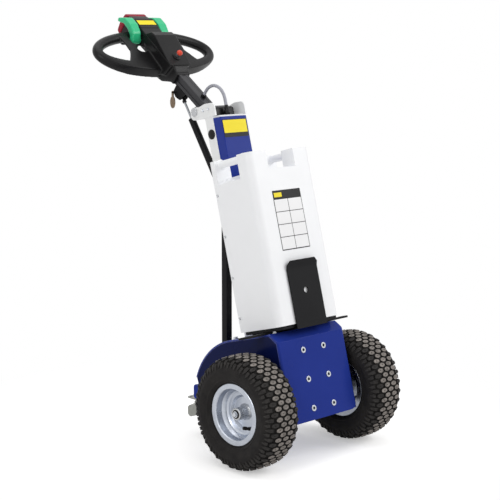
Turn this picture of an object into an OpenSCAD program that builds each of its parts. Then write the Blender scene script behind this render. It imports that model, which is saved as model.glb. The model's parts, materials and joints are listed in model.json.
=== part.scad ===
// Walk-behind electric tug: two driven turf tyres, two rear castors, a lift-off battery box,
// a leaning column and a sprung tiller with a loop grip.
// Millimetres. +Z up, front towards -Y, origin on the floor under the middle of the overall box.

/* [Drive wheels] */
// Outside diameter of the drive tyres
tyre_d = 330; // [320:1:345]
// Section width of the drive tyres
tyre_w = 124; // [112:1:130]
// Gap between the chassis side plates and the drive tyres
tyre_gap = 20; // [15:1:30]
// Diameter over the rim flanges
rim_flange_d = 180; // [176:1:186]
// Diameter of the rim's bead seats
bead_d = 153; // [148:1:158]
// Width over the rim flanges
rim_w = 100; // [94:1:106]
// Sheet thickness of the rim
rim_t = 4; // [3:0.5:5]
// Diameter of the wheel hub
hub_d = 48; // [40:1:56]
// Diameter of the half shafts
shaft_d = 25; // [20:1:28]
// Outside diameter of the axle tubes
axle_tube_d = 44; // [36:1:50]

/* [Chassis] */
// Backward lean of the chassis, column and battery box in degrees
lean = 14.9; // [13:0.1:16]
// Width over the chassis side plates
chassis_w = 279; // [266:1:282]
// Front face of the hitch plate ahead of the axle
front_v = 91.2; // [87:0.1:97]
// Height of the chassis underside above the floor
floor_h = 127; // [120:1:132]
// Top of the deck above the axle, along the leaning column
deck_w = 202; // [194:1:208]
// Sheet thickness of the hitch plate
plate_t = 5; // [4:0.5:6]
// Sheet thickness of deck, sides and floor
sheet_t = 4; // [3:0.5:5]
// Length of the hitch plate's top bevel along each axis
bevel = 27; // [20:1:32]
// Radius of the deck's rounded tail
tail_r = 210; // [203:1:215]
// Start of the rounded tail behind the axle
tail_v = 107; // [102:1:112]
// Angle at which the rounded tail ends
tail_end = 33; // [30:1:36]
// Corner radius of the hitch plate's lower corners
plate_corner_r = 26; // [10:1:34]

/* [Hitch holes] */
// Distance between hitch holes across and along the plate
hitch_pitch = 85; // [78:1:88]
// Height of the middle row above the axle
hitch_mid_w = 54.9; // [49:0.1:59]
// Hole diameter inside the threaded inserts
hitch_hole_d = 8.5; // [7:0.1:10]
// Outside diameter of the inserts
insert_d = 13; // [12:1:16]
// Flange diameter of the inserts
insert_flange_d = 18; // [17:1:24]

/* [Castors] */
// Wheel diameter of the castors
castor_d = 90; // [84:1:92]
// Wheel width of the castors
castor_wheel_w = 32; // [26:1:34]
// Side of the square castor plates
castor_plate = 84; // [80:1:90]
// Swivel axis behind the drive axle
castor_y = 302; // [295:1:309]
// Offset of the castor wheel from its swivel axis
castor_trail = 38; // [32:1:40]
// Direction the castors trail, in degrees from straight ahead
castor_heading = -15; // [-45:1:45]
// Diameter of the castor axles
castor_pin_d = 12; // [10:1:14]
// Depth of the castor beam
beam_d = 50; // [46:1:56]
// Height of the castor beam
beam_h = 45; // [40:1:48]

/* [Battery] */
// Width of the battery box
box_w = 255; // [246:1:260]
// Depth of the battery box
box_d = 173; // [167:1:177]
// Front of the battery box ahead of the axle
box_front_v = 100; // [97:1:103]
// Height of the battery box below its handle posts
box_h = 454; // [422:1:480]
// Height of the handle posts
post_h = 53; // [50:1:58]
// Diameter of the handle bars
handle_d = 22; // [18:1:24]
// Handle bars to the side of the middle
handle_x = 101; // [98:1:106]
// Width of the notch between the front posts
notch_w = 110; // [96:1:124]
// Thickness of the battery tray
tray_t = 10; // [8:1:12]
// Thickness of the cross bar under the tray
bar_t = 6; // [5:1:8]
// Reach of the cross bar's ears beyond the side plates
ear_reach = 83; // [77:1:87]
// Width of the battery guard
guard_w = 125; // [115:1:135]
// Height of the battery guard above the deck
guard_h = 197; // [174:1:209]

/* [Column] */
// Width of the column
column_w = 129; // [123:1:133]
// Rear face of the column behind the axle
column_rear_v = 123; // [117:1:129]
// Front edge of the column's side faces behind the axle
column_side_v = 84; // [80:1:88]
// Front face of the control cover behind the axle
cover_v = 62; // [61:1:66]
// Sheet thickness of the control cover
cover_t = 7; // [5:1:8]
// Top of the column above the axle
column_top_w = 865; // [843:1:883]
// Width of the square braces
brace_w = 22; // [18:1:25]
// Braces to the side of the middle
brace_x = 52; // [48:1:52]

/* [Tiller] */
// Tiller pivot behind the axle
pivot_v = 158; // [156:1:162]
// Tiller pivot above the column's top
pivot_h = 28; // [27:1:32]
// Backward angle of the tiller from the column
tiller_angle = 38.9; // [34:0.1:42]
// Width of the tiller shaft
tiller_w = 37; // [31:1:40]
// Depth of the tiller shaft
tiller_d = 32; // [28:1:34]
// Length of the tiller shaft from its pivot
tiller_l = 163; // [159:1:165]
// Diameter of the tiller's pivot pin
pivot_pin_d = 16; // [14:1:18]
// Half width of the loop grip's centre line
grip_a = 225; // [210:1:235]
// Half depth of the loop grip's centre line
grip_b = 77; // [72:1:82]
// Tube diameter of the loop grip
grip_d = 33; // [28:1:36]
// Middle of the loop grip along the tiller
grip_l = 309; // [304:1:314]
// Middle of the loop grip below the tiller's centre line
grip_r = 12; // [10:1:14]
// Rise of the loop grip's plane above the tiller's line in degrees
grip_rise = 7; // [4:1:9]
// Extra height of the loop grip's front, as a share of its diameter
grip_swell = 0.2; // [0:0.05:0.3]
// Width of the tiller head
head_w = 78; // [70:1:84]
// Length of the tiller head from the pivot
head_l = 446; // [440:1:452]

/* [Gas spring] */
// Lower pivot of the gas spring behind the axle
spring_v = 144; // [141:1:149]
// Lower pivot of the gas spring above the axle
spring_w = 566; // [554:1:578]
// Rod eye along the tiller from its pivot
eye_l = 134; // [130:1:138]
// Rod eye below the tiller's centre line
eye_r = 40; // [39:1:43]
// Diameter of the spring's cylinder
spring_d = 22; // [18:1:24]
// Diameter of the spring's rod
rod_d = 8; // [6:1:10]
// Length of the rod that shows in the photo's position
rod_show = 87; // [83:0.5:92]

/* [Fits] */
// Radial clearance of a turning shaft
run_gap = 0.3; // [0.2:0.05:0.5]
// Side clearance beside a moving eye
side_gap = 1; // [0.6:0.1:2]

/* [Hidden] */
$fn = 48;

tyre_r = tyre_d / 2;
axle_h = tyre_r;
front = -front_v;
half_w = chassis_w / 2;
wheel_x = half_w + tyre_gap + tyre_w / 2;
bar_l = chassis_w + 2 * ear_reach;
castor_x = half_w - castor_plate / 2;
floor_top = floor_h + sheet_t;
pivot_w = column_top_w + pivot_h;
box_bottom_w = deck_w + bar_t + tray_t;
post_w = box_bottom_w + box_h;
box_rear_v = box_d - box_front_v;
deck_front_v = front + bevel - sheet_t;
tail_c = [tail_v, deck_w - tail_r];
side_tail_r = tail_r - sheet_t;
castor_r = castor_d / 2;
mount_t = 4;
race_h = 12;
race_r = 30;
fork_r = 36;
fork_head_h = 14;
beam_rear_y = castor_y + 11;
beam_front_y = beam_rear_y - beam_d;

// Side view of the belly button on the head's end, whose back is the rearmost point of the part.
head_rear_r = -32;
belly_outline = rounded([
    [head_l, head_rear_r], [head_l + 15, head_rear_r + 2, 7], [head_l + 22, 4, 30], [head_l + 18, 36, 10],
    [head_l, 42]
]);
rear_reach = max([for (p = belly_outline) tiller_y(p[0], p[1])]);
axle_y = (tyre_r - rear_reach) / 2;

// Row of the gas spring's rod eye, in the leaning frame.
eye_v = tiller_v(eye_l, eye_r);
eye_w = tiller_w_at(eye_l, eye_r);
spring_l = norm([eye_v - spring_v, eye_w - spring_w]);
spring_body_l = spring_l - rod_show;
spring_angle = atan2(eye_v - spring_v, eye_w - spring_w);

// The tiller's local place (l along it, r below it) in the leaning frame, and in Y behind the axle.
function tiller_v(l, r) = pivot_v + l * sin(tiller_angle) + r * cos(tiller_angle);
function tiller_w_at(l, r) = pivot_w + l * cos(tiller_angle) - r * sin(tiller_angle);
function tiller_y(l, r) = tiller_v(l, r) * cos(lean) + tiller_w_at(l, r) * sin(lean);

// A level place behind the axle and above the floor, in the leaning frame.
function lean_v(y, z) = y * cos(lean) - (z - axle_h) * sin(lean);
function lean_w(y, z) = y * sin(lean) + (z - axle_h) * cos(lean);
function level_w(v, z) = (z - axle_h + v * sin(lean)) / cos(lean);

function unit(p) = p / norm(p);
function flat(p) = [p[0], p[1]];

// One corner of an outline, rounded to the radius in its third column.
function corner(p, q, s, n) =
    q[2] == undef || q[2] == 0 ? [flat(q)] :
    let (
        a = unit(flat(p) - flat(q)),
        b = unit(flat(s) - flat(q)),
        half = acos(a * b) / 2,
        c = flat(q) + unit(a + b) * q[2] / sin(half),
        first = flat(q) + a * q[2] / tan(half) - c,
        last = flat(q) + b * q[2] / tan(half) - c,
        from = atan2(first[1], first[0]),
        turn = (atan2(last[1], last[0]) - from + 540) % 360 - 180
    )
    [for (k = [0:n]) c + q[2] * [cos(from + turn * k / n), sin(from + turn * k / n)]];

// Outline from a table of [x, y, corner radius].
function rounded(t, n = 5) =
    [for (i = [0:len(t) - 1]) each corner(t[(i + len(t) - 1) % len(t)], t[i], t[(i + 1) % len(t)], n)];

function arc(c, r, from, to, n) =
    [for (k = [0:n]) c + r * [cos(from + (to - from) * k / n), sin(from + (to - from) * k / n)]];

function rectangle(x0, y0, x1, y1, r) = rounded([[x0, y0, r], [x1, y0, r], [x1, y1, r], [x0, y1, r]]);

module at_axle() {
    translate([0, axle_y, axle_h]) children();
}

module leaned() {
    at_axle() rotate([-lean, 0, 0]) children();
}

module on_floor() {
    translate([0, axle_y, 0]) children();
}

// Tiller frame: Z runs along the tiller from its pivot, Y points to its underside.
module on_tiller() {
    leaned() translate([0, pivot_v, pivot_w]) rotate([-tiller_angle, 0, 0]) children();
}

// Loop grip's plane: X across, Z along its depth, Y to its underside.
module on_grip() {
    on_tiller() translate([0, grip_r, grip_l]) rotate([grip_rise, 0, 0]) children();
}

// Gas spring frame: Z runs from the lower pivot to the rod eye.
module on_spring() {
    leaned() translate([0, spring_v, spring_w]) rotate([-spring_angle, 0, 0]) children();
}

// A side outline of [y, z] points, extruded from x0 to x1.
module across(x0, x1, points) {
    translate([x0, 0, 0]) rotate([90, 0, 90]) linear_extrude(x1 - x0) polygon(points);
}

// A side outline of [l, r] points on the tiller, extruded from x0 to x1.
module across_tiller(x0, x1, points) {
    across(x0, x1, [for (p = points) [p[1], p[0]]]);
}

// A front outline of [x, z] points, extruded from y0 to y1.
module through(y0, y1, points) {
    translate([0, y1, 0]) rotate([90, 0, 0]) linear_extrude(y1 - y0) polygon(points);
}

// A plan outline of [x, y] points, extruded from z0 to z1.
module upright(z0, z1, points) {
    translate([0, 0, z0]) linear_extrude(z1 - z0) polygon(points);
}

// A round bar along X.
module bar_x(x0, x1, r) {
    translate([x0, 0, 0]) rotate([0, 90, 0]) cylinder(h = x1 - x0, r = r);
}

// Chassis

module front_plate() {
    bend_w = deck_w - bevel;
    inner = front + plate_t;
    top_w = deck_w - sheet_t;
    low_w = level_w(front, floor_h);
    section = [
        [front, low_w], [front, bend_w], [deck_front_v, top_w], [deck_front_v + plate_t * sqrt(2), top_w],
        [inner, bend_w - plate_t * tan(22.5)], [inner, low_w]
    ];
    face = rounded([
        [-half_w, low_w, plate_corner_r], [half_w, low_w, plate_corner_r], [half_w, deck_w], [-half_w, deck_w]
    ]);
    edge_r = 8;
    plan = rounded([
        [-half_w, front, edge_r], [half_w, front, edge_r],
        [half_w, front + 2 * bevel], [-half_w, front + 2 * bevel]
    ]);
    color("royalblue") leaned() difference() {
        intersection() {
            across(-half_w, half_w, section);
            through(front - 1, front + 2 * bevel, face);
            upright(low_w - 1, deck_w + 1, plan);
        }
        hitch_holes(insert_d / 2 + 0.1, front - 1, front + plate_t + 1);
    }
}

// The two by three grid of hitch holes, drilled from v0 to v1.
module hitch_holes(r, v0, v1) {
    for (side = [-1, 1], row = [-1, 0, 1])
        translate([side * hitch_pitch / 2, v0, hitch_mid_w + row * hitch_pitch])
            rotate([-90, 0, 0]) cylinder(h = v1 - v0, r = r);
}

module hitch_inserts() {
    flange_t = 2;
    depth = 16;
    color("silver") leaned() difference() {
        union() {
            hitch_holes(insert_flange_d / 2, front - flange_t, front);
            hitch_holes(insert_d / 2, front - flange_t, front + depth);
        }
        hitch_holes(hitch_hole_d / 2, front - flange_t - 1, front + depth + 1);
    }
}

module side_plates() {
    inner = front + plate_t;
    top_w = deck_w - sheet_t;
    tail = arc(tail_c, side_tail_r, 90, tail_end, 16);
    tail_tip = tail[16];
    beam_top_z = floor_h + beam_h;
    tip_y = tail_tip[0] * cos(lean) + tail_tip[1] * sin(lean) - 8;
    outline = concat(
        [
            [inner, level_w(inner, floor_h)],
            [inner, deck_w - bevel - plate_t * tan(22.5)],
            [deck_front_v + plate_t * sqrt(2), top_w]
        ],
        tail,
        [
            [lean_v(tip_y, beam_top_z), lean_w(tip_y, beam_top_z)],
            [lean_v(beam_front_y, beam_top_z), lean_w(beam_front_y, beam_top_z)],
            [lean_v(beam_front_y, floor_h), lean_w(beam_front_y, floor_h)]
        ]
    );
    color("mediumblue") leaned() for (side = [-1, 1]) difference() {
        across(side > 0 ? half_w - sheet_t : -half_w, side > 0 ? half_w : -half_w + sheet_t, outline);
        bar_x(-half_w - 1, half_w + 1, axle_tube_d / 2 + run_gap);
    }
}

module top_deck() {
    outer = arc(tail_c, tail_r, 90, tail_end, 16);
    inner = arc(tail_c, side_tail_r, tail_end, 90, 16);
    section = concat(
        [[deck_front_v, deck_w - sheet_t], [front + bevel, deck_w]],
        outer,
        inner
    );
    color("mediumblue") leaned() across(-half_w, half_w, section);
}

module floor_pan() {
    front_y = (front + plate_t) / cos(lean) - (axle_h - floor_top) * tan(lean) + run_gap;
    color("mediumblue") on_floor()
        translate([-half_w + sheet_t, front_y, floor_h])
            cube([chassis_w - 2 * sheet_t, beam_front_y - front_y, sheet_t]);
}

module castor_beam() {
    edge_r = 10;
    color("royalblue") on_floor()
        across(-half_w, half_w, rectangle(beam_front_y, floor_h, beam_rear_y, floor_h + beam_h, edge_r));
}

// Fixed plates and races of both castors, with a bore for each swivel pin.
module castor_mounts() {
    edge = castor_plate / 2;
    hole_at = edge - 10;
    hole_d = 9;
    color("gainsboro") on_floor() for (side = [-1, 1])
        translate([side * castor_x, castor_y, floor_h - mount_t]) difference() {
            union() {
                upright(0, mount_t, rectangle(-edge, -edge, edge, edge, 8));
                translate([0, 0, -race_h]) cylinder(h = race_h, r = race_r);
            }
            translate([0, 0, -race_h - 1]) cylinder(h = race_h + mount_t + 2, r = castor_pin_d / 2 + run_gap);
            for (x = [-1, 1], y = [-1, 1]) translate([x * hole_at, y * hole_at, -1])
                cylinder(h = mount_t + 2, r = hole_d / 2);
        }
}

// Swivel frame of one castor: origin on the floor under the swivel axis, -Y along the trail.
module on_castor(side) {
    on_floor() translate([side * castor_x, castor_y, 0]) rotate([0, 0, side * castor_heading]) children();
}

// Fork with its axle, and a heel with the brake pedal behind the swivel.
module castor_fork(side) {
    head_top = floor_h - mount_t - race_h - run_gap;
    head_low = head_top - fork_head_h;
    leg_t = 3;
    leg_x = castor_wheel_w / 2 + 5;
    leg_r = 13;
    leg = rounded([
        [-fork_r + 4, head_low], [-castor_trail - leg_r, castor_r - leg_r, leg_r],
        [-castor_trail + leg_r, castor_r - leg_r, leg_r], [fork_r - 14, head_low]
    ]);
    heel_half = 17;
    heel = rounded([[10, 72], [48, 60, 6], [56, 68, 6], [56, 96, 10], [20, head_low + 4]]);
    color("gainsboro") on_castor(side) {
        across(-heel_half, heel_half, heel);
        translate([0, 0, head_low]) cylinder(h = fork_head_h, r = fork_r);
        translate([0, 0, head_low]) cylinder(h = floor_h - head_low, r = castor_pin_d / 2);
        for (x = [-leg_x - leg_t, leg_x]) across(x, x + leg_t, leg);
        translate([0, -castor_trail, castor_r])
            bar_x(-leg_x - leg_t - 3, leg_x + leg_t + 3, castor_pin_d / 2);
    }
}

module castor_wheel(side) {
    half = castor_wheel_w / 2;
    bore = castor_pin_d / 2 + run_gap;
    hub_r = 14;
    hub_half = half + 4.5;
    web_half = half - 8;
    tread_in = castor_r - 14;
    section = [
        [bore, -hub_half], [hub_r, -hub_half], [hub_r, -web_half], [tread_in, -web_half], [tread_in, -half],
        [castor_r - 5, -half], [castor_r, -half + 8], [castor_r, half - 8], [castor_r - 5, half],
        [tread_in, half], [tread_in, web_half], [hub_r, web_half], [hub_r, hub_half], [bore, hub_half]
    ];
    color("dimgray") on_castor(side) translate([0, -castor_trail, castor_r]) rotate([0, 90, 0])
        rotate_extrude() polygon(section);
}

// Flat bar under the battery tray, with a drilled ear over each tyre.
module cross_bar() {
    bar_v = -32;
    bar_d = 30;
    hole_d = 11;
    hole_inset = 12;
    color("dimgray") leaned() difference() {
        upright(deck_w, deck_w + bar_t,
            rectangle(-bar_l / 2, bar_v - bar_d / 2, bar_l / 2, bar_v + bar_d / 2, 10));
        for (side = [-1, 1]) translate([side * (bar_l / 2 - hole_inset), bar_v, deck_w - 1])
            cylinder(h = bar_t + 2, r = hole_d / 2);
    }
}

module battery_tray() {
    inset = 4;
    foot_v = 30;
    foot_d = 20;
    foot_half = box_w / 2 - 30;
    rear_v = cover_v - 4;
    color("#202020") leaned() {
        upright(deck_w + bar_t, box_bottom_w,
            rectangle(-box_w / 2 + inset, -box_front_v + inset, box_w / 2 - inset, rear_v, 16));
        upright(deck_w, deck_w + bar_t, rectangle(-foot_half, foot_v, foot_half, foot_v + foot_d, 4));
    }
}

// Folded guard in front of the battery box, its foot clamped on the deck under the tray.
module battery_guard() {
    t = 4;
    back_v = -box_front_v - 2;
    face_v = back_v - t;
    foot_v = -50;
    lip_h = 24;
    lip_out = 8;
    top_w = deck_w + guard_h;
    clip = 12;
    half = guard_w / 2;
    eye_w = deck_w + 107;
    eye_d = 17;
    section = [
        [foot_v, deck_w], [face_v, deck_w], [face_v, top_w - lip_h], [face_v - lip_out, top_w],
        [back_v - lip_out, top_w], [back_v, top_w - lip_h], [back_v, deck_w + t], [foot_v, deck_w + t]
    ];
    face = [
        [-half, deck_w], [half, deck_w], [half, top_w - clip], [half - clip, top_w],
        [-half + clip, top_w], [-half, top_w - clip]
    ];
    color("#202020") leaned() difference() {
        intersection() {
            across(-half, half, section);
            through(face_v - lip_out - 1, foot_v + 1, face);
        }
        translate([0, face_v - 1, eye_w]) rotate([-90, 0, 0]) cylinder(h = t + 2, r = eye_d / 2);
    }
}

// Battery box

// Half width of the channel at the box's back that clears the control cover.
channel_x = column_w / 2 + 4;

// Plan of the battery box.
function box_plan() =
    let (half = box_w / 2, ch = channel_x, ch_v = cover_v - 2, back_r = min(16, half - ch - 6))
    rounded([
        [-half, -box_front_v, 22], [half, -box_front_v, 22], [half, box_rear_v, back_r], [ch, box_rear_v, 4],
        [ch, ch_v, 4], [-ch, ch_v, 4], [-ch, box_rear_v, 4], [-half, box_rear_v, back_r]
    ]);

post_front_v = -51;
post_rear_v = 45;
scoop_x = 76;
scoop_h = 17;

// The box, with a sloping finger scoop between the posts on each side.
module battery_box() {
    edge = box_w / 2 + 1;
    color("white") leaned() difference() {
        upright(box_bottom_w, post_w, box_plan());
        for (side = [-1, 1]) through(post_front_v, post_rear_v, [
            [side * scoop_x, post_w], [side * edge, post_w - scoop_h],
            [side * edge, post_w + 1], [side * scoop_x, post_w + 1]
        ]);
    }
}

module battery_posts() {
    color("white") leaned() intersection() {
        upright(post_w, post_w + post_h, box_plan());
        for (side = [-1, 1]) {
            front_x = side > 0 ? notch_w / 2 : -box_w / 2;
            back_x = side > 0 ? channel_x : -box_w / 2;
            translate([front_x, -box_front_v, post_w])
                cube([(box_w - notch_w) / 2, post_front_v + box_front_v, post_h]);
            translate([back_x, post_rear_v, post_w])
                cube([box_w / 2 - channel_x, box_rear_v - post_rear_v, post_h]);
        }
    }
}

module battery_handles() {
    color("white") leaned() for (side = [-1, 1])
        translate([side * handle_x, post_front_v, post_w + post_h - handle_d / 2])
            rotate([-90, 0, 0]) cylinder(h = post_rear_v - post_front_v, r = handle_d / 2);
}

// Column

cover_inner_v = cover_v + cover_t;
cover_half = 52;
column_half = column_w / 2;
column_neck = column_half - cover_t;
column_nose = cover_half - cover_t / 2;

module column() {
    plan = rounded([
        [column_half, column_rear_v, 8], [column_half, column_side_v], [column_neck, column_side_v],
        [column_nose, cover_inner_v], [-column_nose, cover_inner_v], [-column_neck, column_side_v],
        [-column_half, column_side_v], [-column_half, column_rear_v, 8]
    ]);
    color("white") leaned() upright(deck_w, column_top_w, plan);
}

module control_cover() {
    plan = [
        [column_half, column_side_v], [column_half, column_side_v - 3], [cover_half, cover_v],
        [-cover_half, cover_v],
        [-column_half, column_side_v - 3], [-column_half, column_side_v], [-column_neck, column_side_v],
        [-column_nose, cover_inner_v], [column_nose, cover_inner_v], [column_neck, column_side_v]
    ];
    top_gap = 6;
    color("mediumblue") leaned() upright(deck_w, column_top_w - top_gap, plan);
}

module hinge_block() {
    block_front_v = 97;
    block_rear_v = 131;
    block_half = 40;
    block_h = 32;
    color("#202020") leaned() across(-block_half, block_half,
        rounded([
            [block_front_v, column_top_w], [block_rear_v, column_top_w],
            [block_rear_v, column_top_w + block_h, 6], [block_front_v, column_top_w + block_h, 10]
        ]));
}

ear_t = 5;
ear_in = column_half - ear_t;

module pivot_ears() {
    top_w = column_top_w + 45;
    front_v = column_side_v - 14;
    outline = rounded([
        [front_v, column_top_w], [column_rear_v, column_top_w], [pivot_v - 8, column_top_w + 3, 12],
        [pivot_v + 20, column_top_w + 6, 15], [pivot_v + 20, top_w, 15], [pivot_v - 24, top_w - 6, 20],
        [pivot_v - 48, top_w - 2, 16], [front_v, top_w - 6, 14]
    ]);
    color("whitesmoke") leaned() for (side = [-1, 1]) difference() {
        across(side > 0 ? ear_in : -column_half, side > 0 ? column_half : -ear_in, outline);
        translate([0, pivot_v, pivot_w]) bar_x(-column_half - 1, column_half + 1, pivot_pin_d / 2 + run_gap);
    }
}

module pivot_pin() {
    head_t = 4;
    head_r = 12;
    out = column_half + run_gap;
    color("silver") leaned() translate([0, pivot_v, pivot_w]) {
        bar_x(-out - head_t, out + head_t, pivot_pin_d / 2);
        bar_x(-out - head_t, -out, head_r);
        bar_x(out, out + head_t, head_r);
    }
}

gland_v = 85;
gland_h = 20;

module cable_gland() {
    nut_h = 8;
    color("#202020") leaned() translate([0, gland_v, column_top_w]) {
        cylinder(h = nut_h, r = 11, $fn = 6);
        translate([0, 0, nut_h]) cylinder(h = gland_h - nut_h, r = 8);
    }
}

// Upright square braces from the deck's tail to the back of the column.
module braces() {
    brace_y = 257;
    foot_z = 230;
    head_z = 674;
    color("#202020") difference() {
        on_floor() for (side = [-1, 1])
            translate([side * brace_x - brace_w / 2, brace_y - brace_w / 2, foot_z])
                cube([brace_w, brace_w, head_z - foot_z]);
        leaned() translate([-half_w, 0, deck_w]) cube([chassis_w, column_rear_v, column_top_w]);
        leaned() translate([0, tail_c[0], tail_c[1]]) bar_x(-half_w, half_w, tail_r);
    }
}

eye_half = 8;
cheek_t = 4;
spring_pin_d = 10;
clevis_h = 26;

module spring_clevis() {
    base_t = 4;
    reach = spring_v + 11;
    cheek_in = eye_half + side_gap;
    base_half = 20;
    base_h = clevis_h + 20;
    color("#202020") leaned() {
        translate([-base_half, column_rear_v, spring_w - base_h / 2]) cube([2 * base_half, base_t, base_h]);
        for (x = [-cheek_in - cheek_t, cheek_in])
            across(x, x + cheek_t, rounded([
                [column_rear_v + base_t, spring_w - clevis_h / 2], [reach, spring_w - clevis_h / 2, 11],
                [reach, spring_w + clevis_h / 2, 11], [column_rear_v + base_t, spring_w + clevis_h / 2]
            ]));
        translate([0, spring_v, spring_w])
            bar_x(-cheek_in - cheek_t - 3, cheek_in + cheek_t + 3, spring_pin_d / 2);
    }
}

// Gearbox with its axle tubes, and the drive motor behind it.
module drive_unit() {
    box_half = 60;
    box_front = 45;
    box_rear = 60;
    box_low = 30;
    box_top = 90;
    motor_r = 46;
    motor_l = 150;
    motor_z = 18;
    tube_end = wheel_x - tyre_w / 2 - 4;
    color("dimgray") at_axle() difference() {
        union() {
            translate([-box_half, -box_front, -box_low])
                cube([2 * box_half, box_front + box_rear, box_low + box_top]);
            bar_x(-tube_end, tube_end, axle_tube_d / 2);
            translate([0, box_rear, motor_z]) rotate([-90, 0, 0]) cylinder(h = motor_l, r = motor_r);
        }
        bar_x(-tube_end - 1, tube_end + 1, shaft_d / 2 + run_gap);
    }
}

// Cable from the clip on the tiller to the gland on the column: points [v, w] in the leaning frame.
cable_d = 10;
cable_route = [
    [170.9, 949.4], [164.8, 954.3], [158.5, 959], [151, 963], [142, 966], [131, 967], [120, 965], [109, 960],
    [99, 952], [92, 942], [87, 930], [85, 917], [85, 901], [85, 885]
];

module cable() {
    n = len(cable_route) - 1;
    sides = 10;
    function ahead(i) = unit(cable_route[min(i + 1, n)] - cable_route[max(i - 1, 0)]);
    points = [
        for (i = [0:n], k = [0:sides - 1])
            let (d = ahead(i), a = 360 * k / sides, s = cable_d / 2 * sin(a))
            [cable_d / 2 * cos(a), cable_route[i][0] - s * d[1], cable_route[i][1] + s * d[0]]
    ];
    sweep_faces = tube_faces(n, sides);
    color("gray") leaned() polyhedron(points, sweep_faces);
}

// Faces of a swept tube with flat ends.
function tube_faces(n, sides) = concat(
    [[for (k = [0:sides - 1]) k]],
    [
        for (i = [0:n - 1], k = [0:sides - 1])
            let (a = i * sides + k, b = i * sides + (k + 1) % sides)
            [a, a + sides, b + sides, b]
    ],
    [[for (k = [sides - 1:-1:0]) n * sides + k]]
);

// Drive wheels

// Wheel frame: Z points out of the vehicle, origin at the middle of the tyre.
module on_wheel(side) {
    at_axle() translate([side * wheel_x, 0, 0]) rotate([0, side * 90, 0]) children();
}

module tyre(side) {
    half = tyre_w / 2;
    seat = bead_d / 2 + run_gap;
    lip = rim_w / 2 - 3 - run_gap;
    over = rim_flange_d / 2 + 1;
    // Half of the section: radius, distance from the middle plane.
    profile = [
        [seat, lip - 4], [seat + 4, lip], [over, lip], [over + 5, half - 8], [over + 16, half - 2],
        [over + 30, half], [tyre_r - 26, half - 2], [tyre_r - 14, half - 7], [tyre_r - 6, half - 15],
        [tyre_r - 2, half - 27], [tyre_r, half - 44]
    ];
    n = len(profile) - 1;
    section = concat(profile, [for (i = [n:-1:0]) [profile[i][0], -profile[i][1]]]);
    color("#262626") on_wheel(side) rotate_extrude() polygon(section);
}

module rim(side) {
    edge = rim_w / 2;
    lip = edge - 3;
    seat = bead_d / 2;
    well = seat - 6.5;
    inner = seat - rim_t;
    well_in = well - rim_t;
    flange = rim_flange_d / 2;
    hub_r = hub_d / 2 + 0.1;
    // Radius, distance out from the middle plane: flange, bead seat, well, and the stepped disc.
    section = [
        [inner, edge], [flange, edge], [flange, lip], [seat + 3.5, lip], [seat, lip - 3.5], [seat, 20],
        [well, 14], [well, -14], [seat, -20], [seat, -lip + 3.5], [seat + 3.5, -lip], [flange, -lip],
        [flange, -edge],
        [inner, -edge], [inner, -18], [well_in, -12], [well_in, 8], [48.4, 8], [42.4, -2], [hub_r, -2],
        [hub_r, 2], [44, 2], [50, 12], [well_in, 12], [inner, 18]
    ];
    color("silver") on_wheel(side) rotate_extrude() polygon(section);
}

// Hub, half shaft and the bolt that holds the wheel.
module hub(side) {
    hub_in = -40;
    hub_out = 44;
    bolt_r = 10;
    bolt_h = 6;
    shaft_end = 70 - wheel_x;
    color("darkgray") on_wheel(side) {
        translate([0, 0, hub_in]) cylinder(h = hub_out - hub_in, r = hub_d / 2);
        translate([0, 0, hub_out]) cylinder(h = bolt_h, r = bolt_r, $fn = 6);
        translate([0, 0, shaft_end]) cylinder(h = hub_in - shaft_end, r = shaft_d / 2);
    }
}

module tyre_left() { tyre(-1); }
module rim_left() { rim(-1); }
module hub_left() { hub(-1); }
module tyre_right() { tyre(1); }
module rim_right() { rim(1); }
module hub_right() { hub(1); }
module castor_fork_left() { castor_fork(-1); }
module castor_wheel_left() { castor_wheel(-1); }
module castor_fork_right() { castor_fork(1); }
module castor_wheel_right() { castor_wheel(1); }

// Tiller

head_half = head_w / 2;

module tiller_shaft() {
    knuckle_r = 17;
    knuckle_half = ear_in - side_gap;
    half = tiller_w / 2;
    deep = tiller_d / 2;
    groove = 3;
    // Half of the extrusion's section, with a groove along its side face and a shallow one along its top.
    profile = [
        [-half + 11, -deep], [-half + 11, -deep + 1], [half - 11, -deep + 1], [half - 11, -deep],
        [half - 1, -deep], [half, -deep + 1], [half, -5], [half - groove, -4], [half - groove, 4],
        [half, 5], [half, deep - 1],
        [half - 1, deep]
    ];
    color("#202020") on_tiller() difference() {
        union() {
            linear_extrude(tiller_l) polygon(concat(profile, [for (p = profile) -p]));
            bar_x(-knuckle_half, knuckle_half, knuckle_r);
        }
        bar_x(-knuckle_half - 1, knuckle_half + 1, pivot_pin_d / 2 + run_gap);
    }
}

pod_front_l = 188;
pod_rear_l = 342;
pod_ridge_l = 302;
pod_ridge_r = -64;
head_top_r = -38;
pod_foot_r = -32;

// Side views of the head: places [l, r] along and below the tiller. The socket holds the shaft's end.
module head_housing() {
    socket_half = 28;
    body = [
        [pod_front_l, pod_foot_r], [pod_rear_l, head_top_r], [head_l - 44, head_top_r - 2],
        [head_l, head_rear_r], [head_l, 56], [head_l - 18, 64], [pod_front_l + 64, 48], [pod_front_l + 12, 14]
    ];
    socket = [
        [tiller_l, tiller_d / 2 + 3], [tiller_l, -tiller_d / 2], [pod_front_l, pod_foot_r],
        [pod_front_l + 64, 0], [pod_front_l + 64, 52], [pod_front_l + 22, 45]
    ];
    color("#202020") on_tiller() {
        across_tiller(-head_half, head_half, body);
        across_tiller(-socket_half, socket_half, socket);
    }
}

module control_pod() {
    pod_half = head_half + 4;
    outline = rounded([
        [pod_front_l, pod_foot_r], [pod_ridge_l, pod_ridge_r, 8], [pod_ridge_l + 20, pod_ridge_r + 3, 8],
        [pod_rear_l, head_top_r]
    ]);
    color("#202020") on_tiller() across_tiller(-pod_half, pod_half, outline);
}

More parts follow.
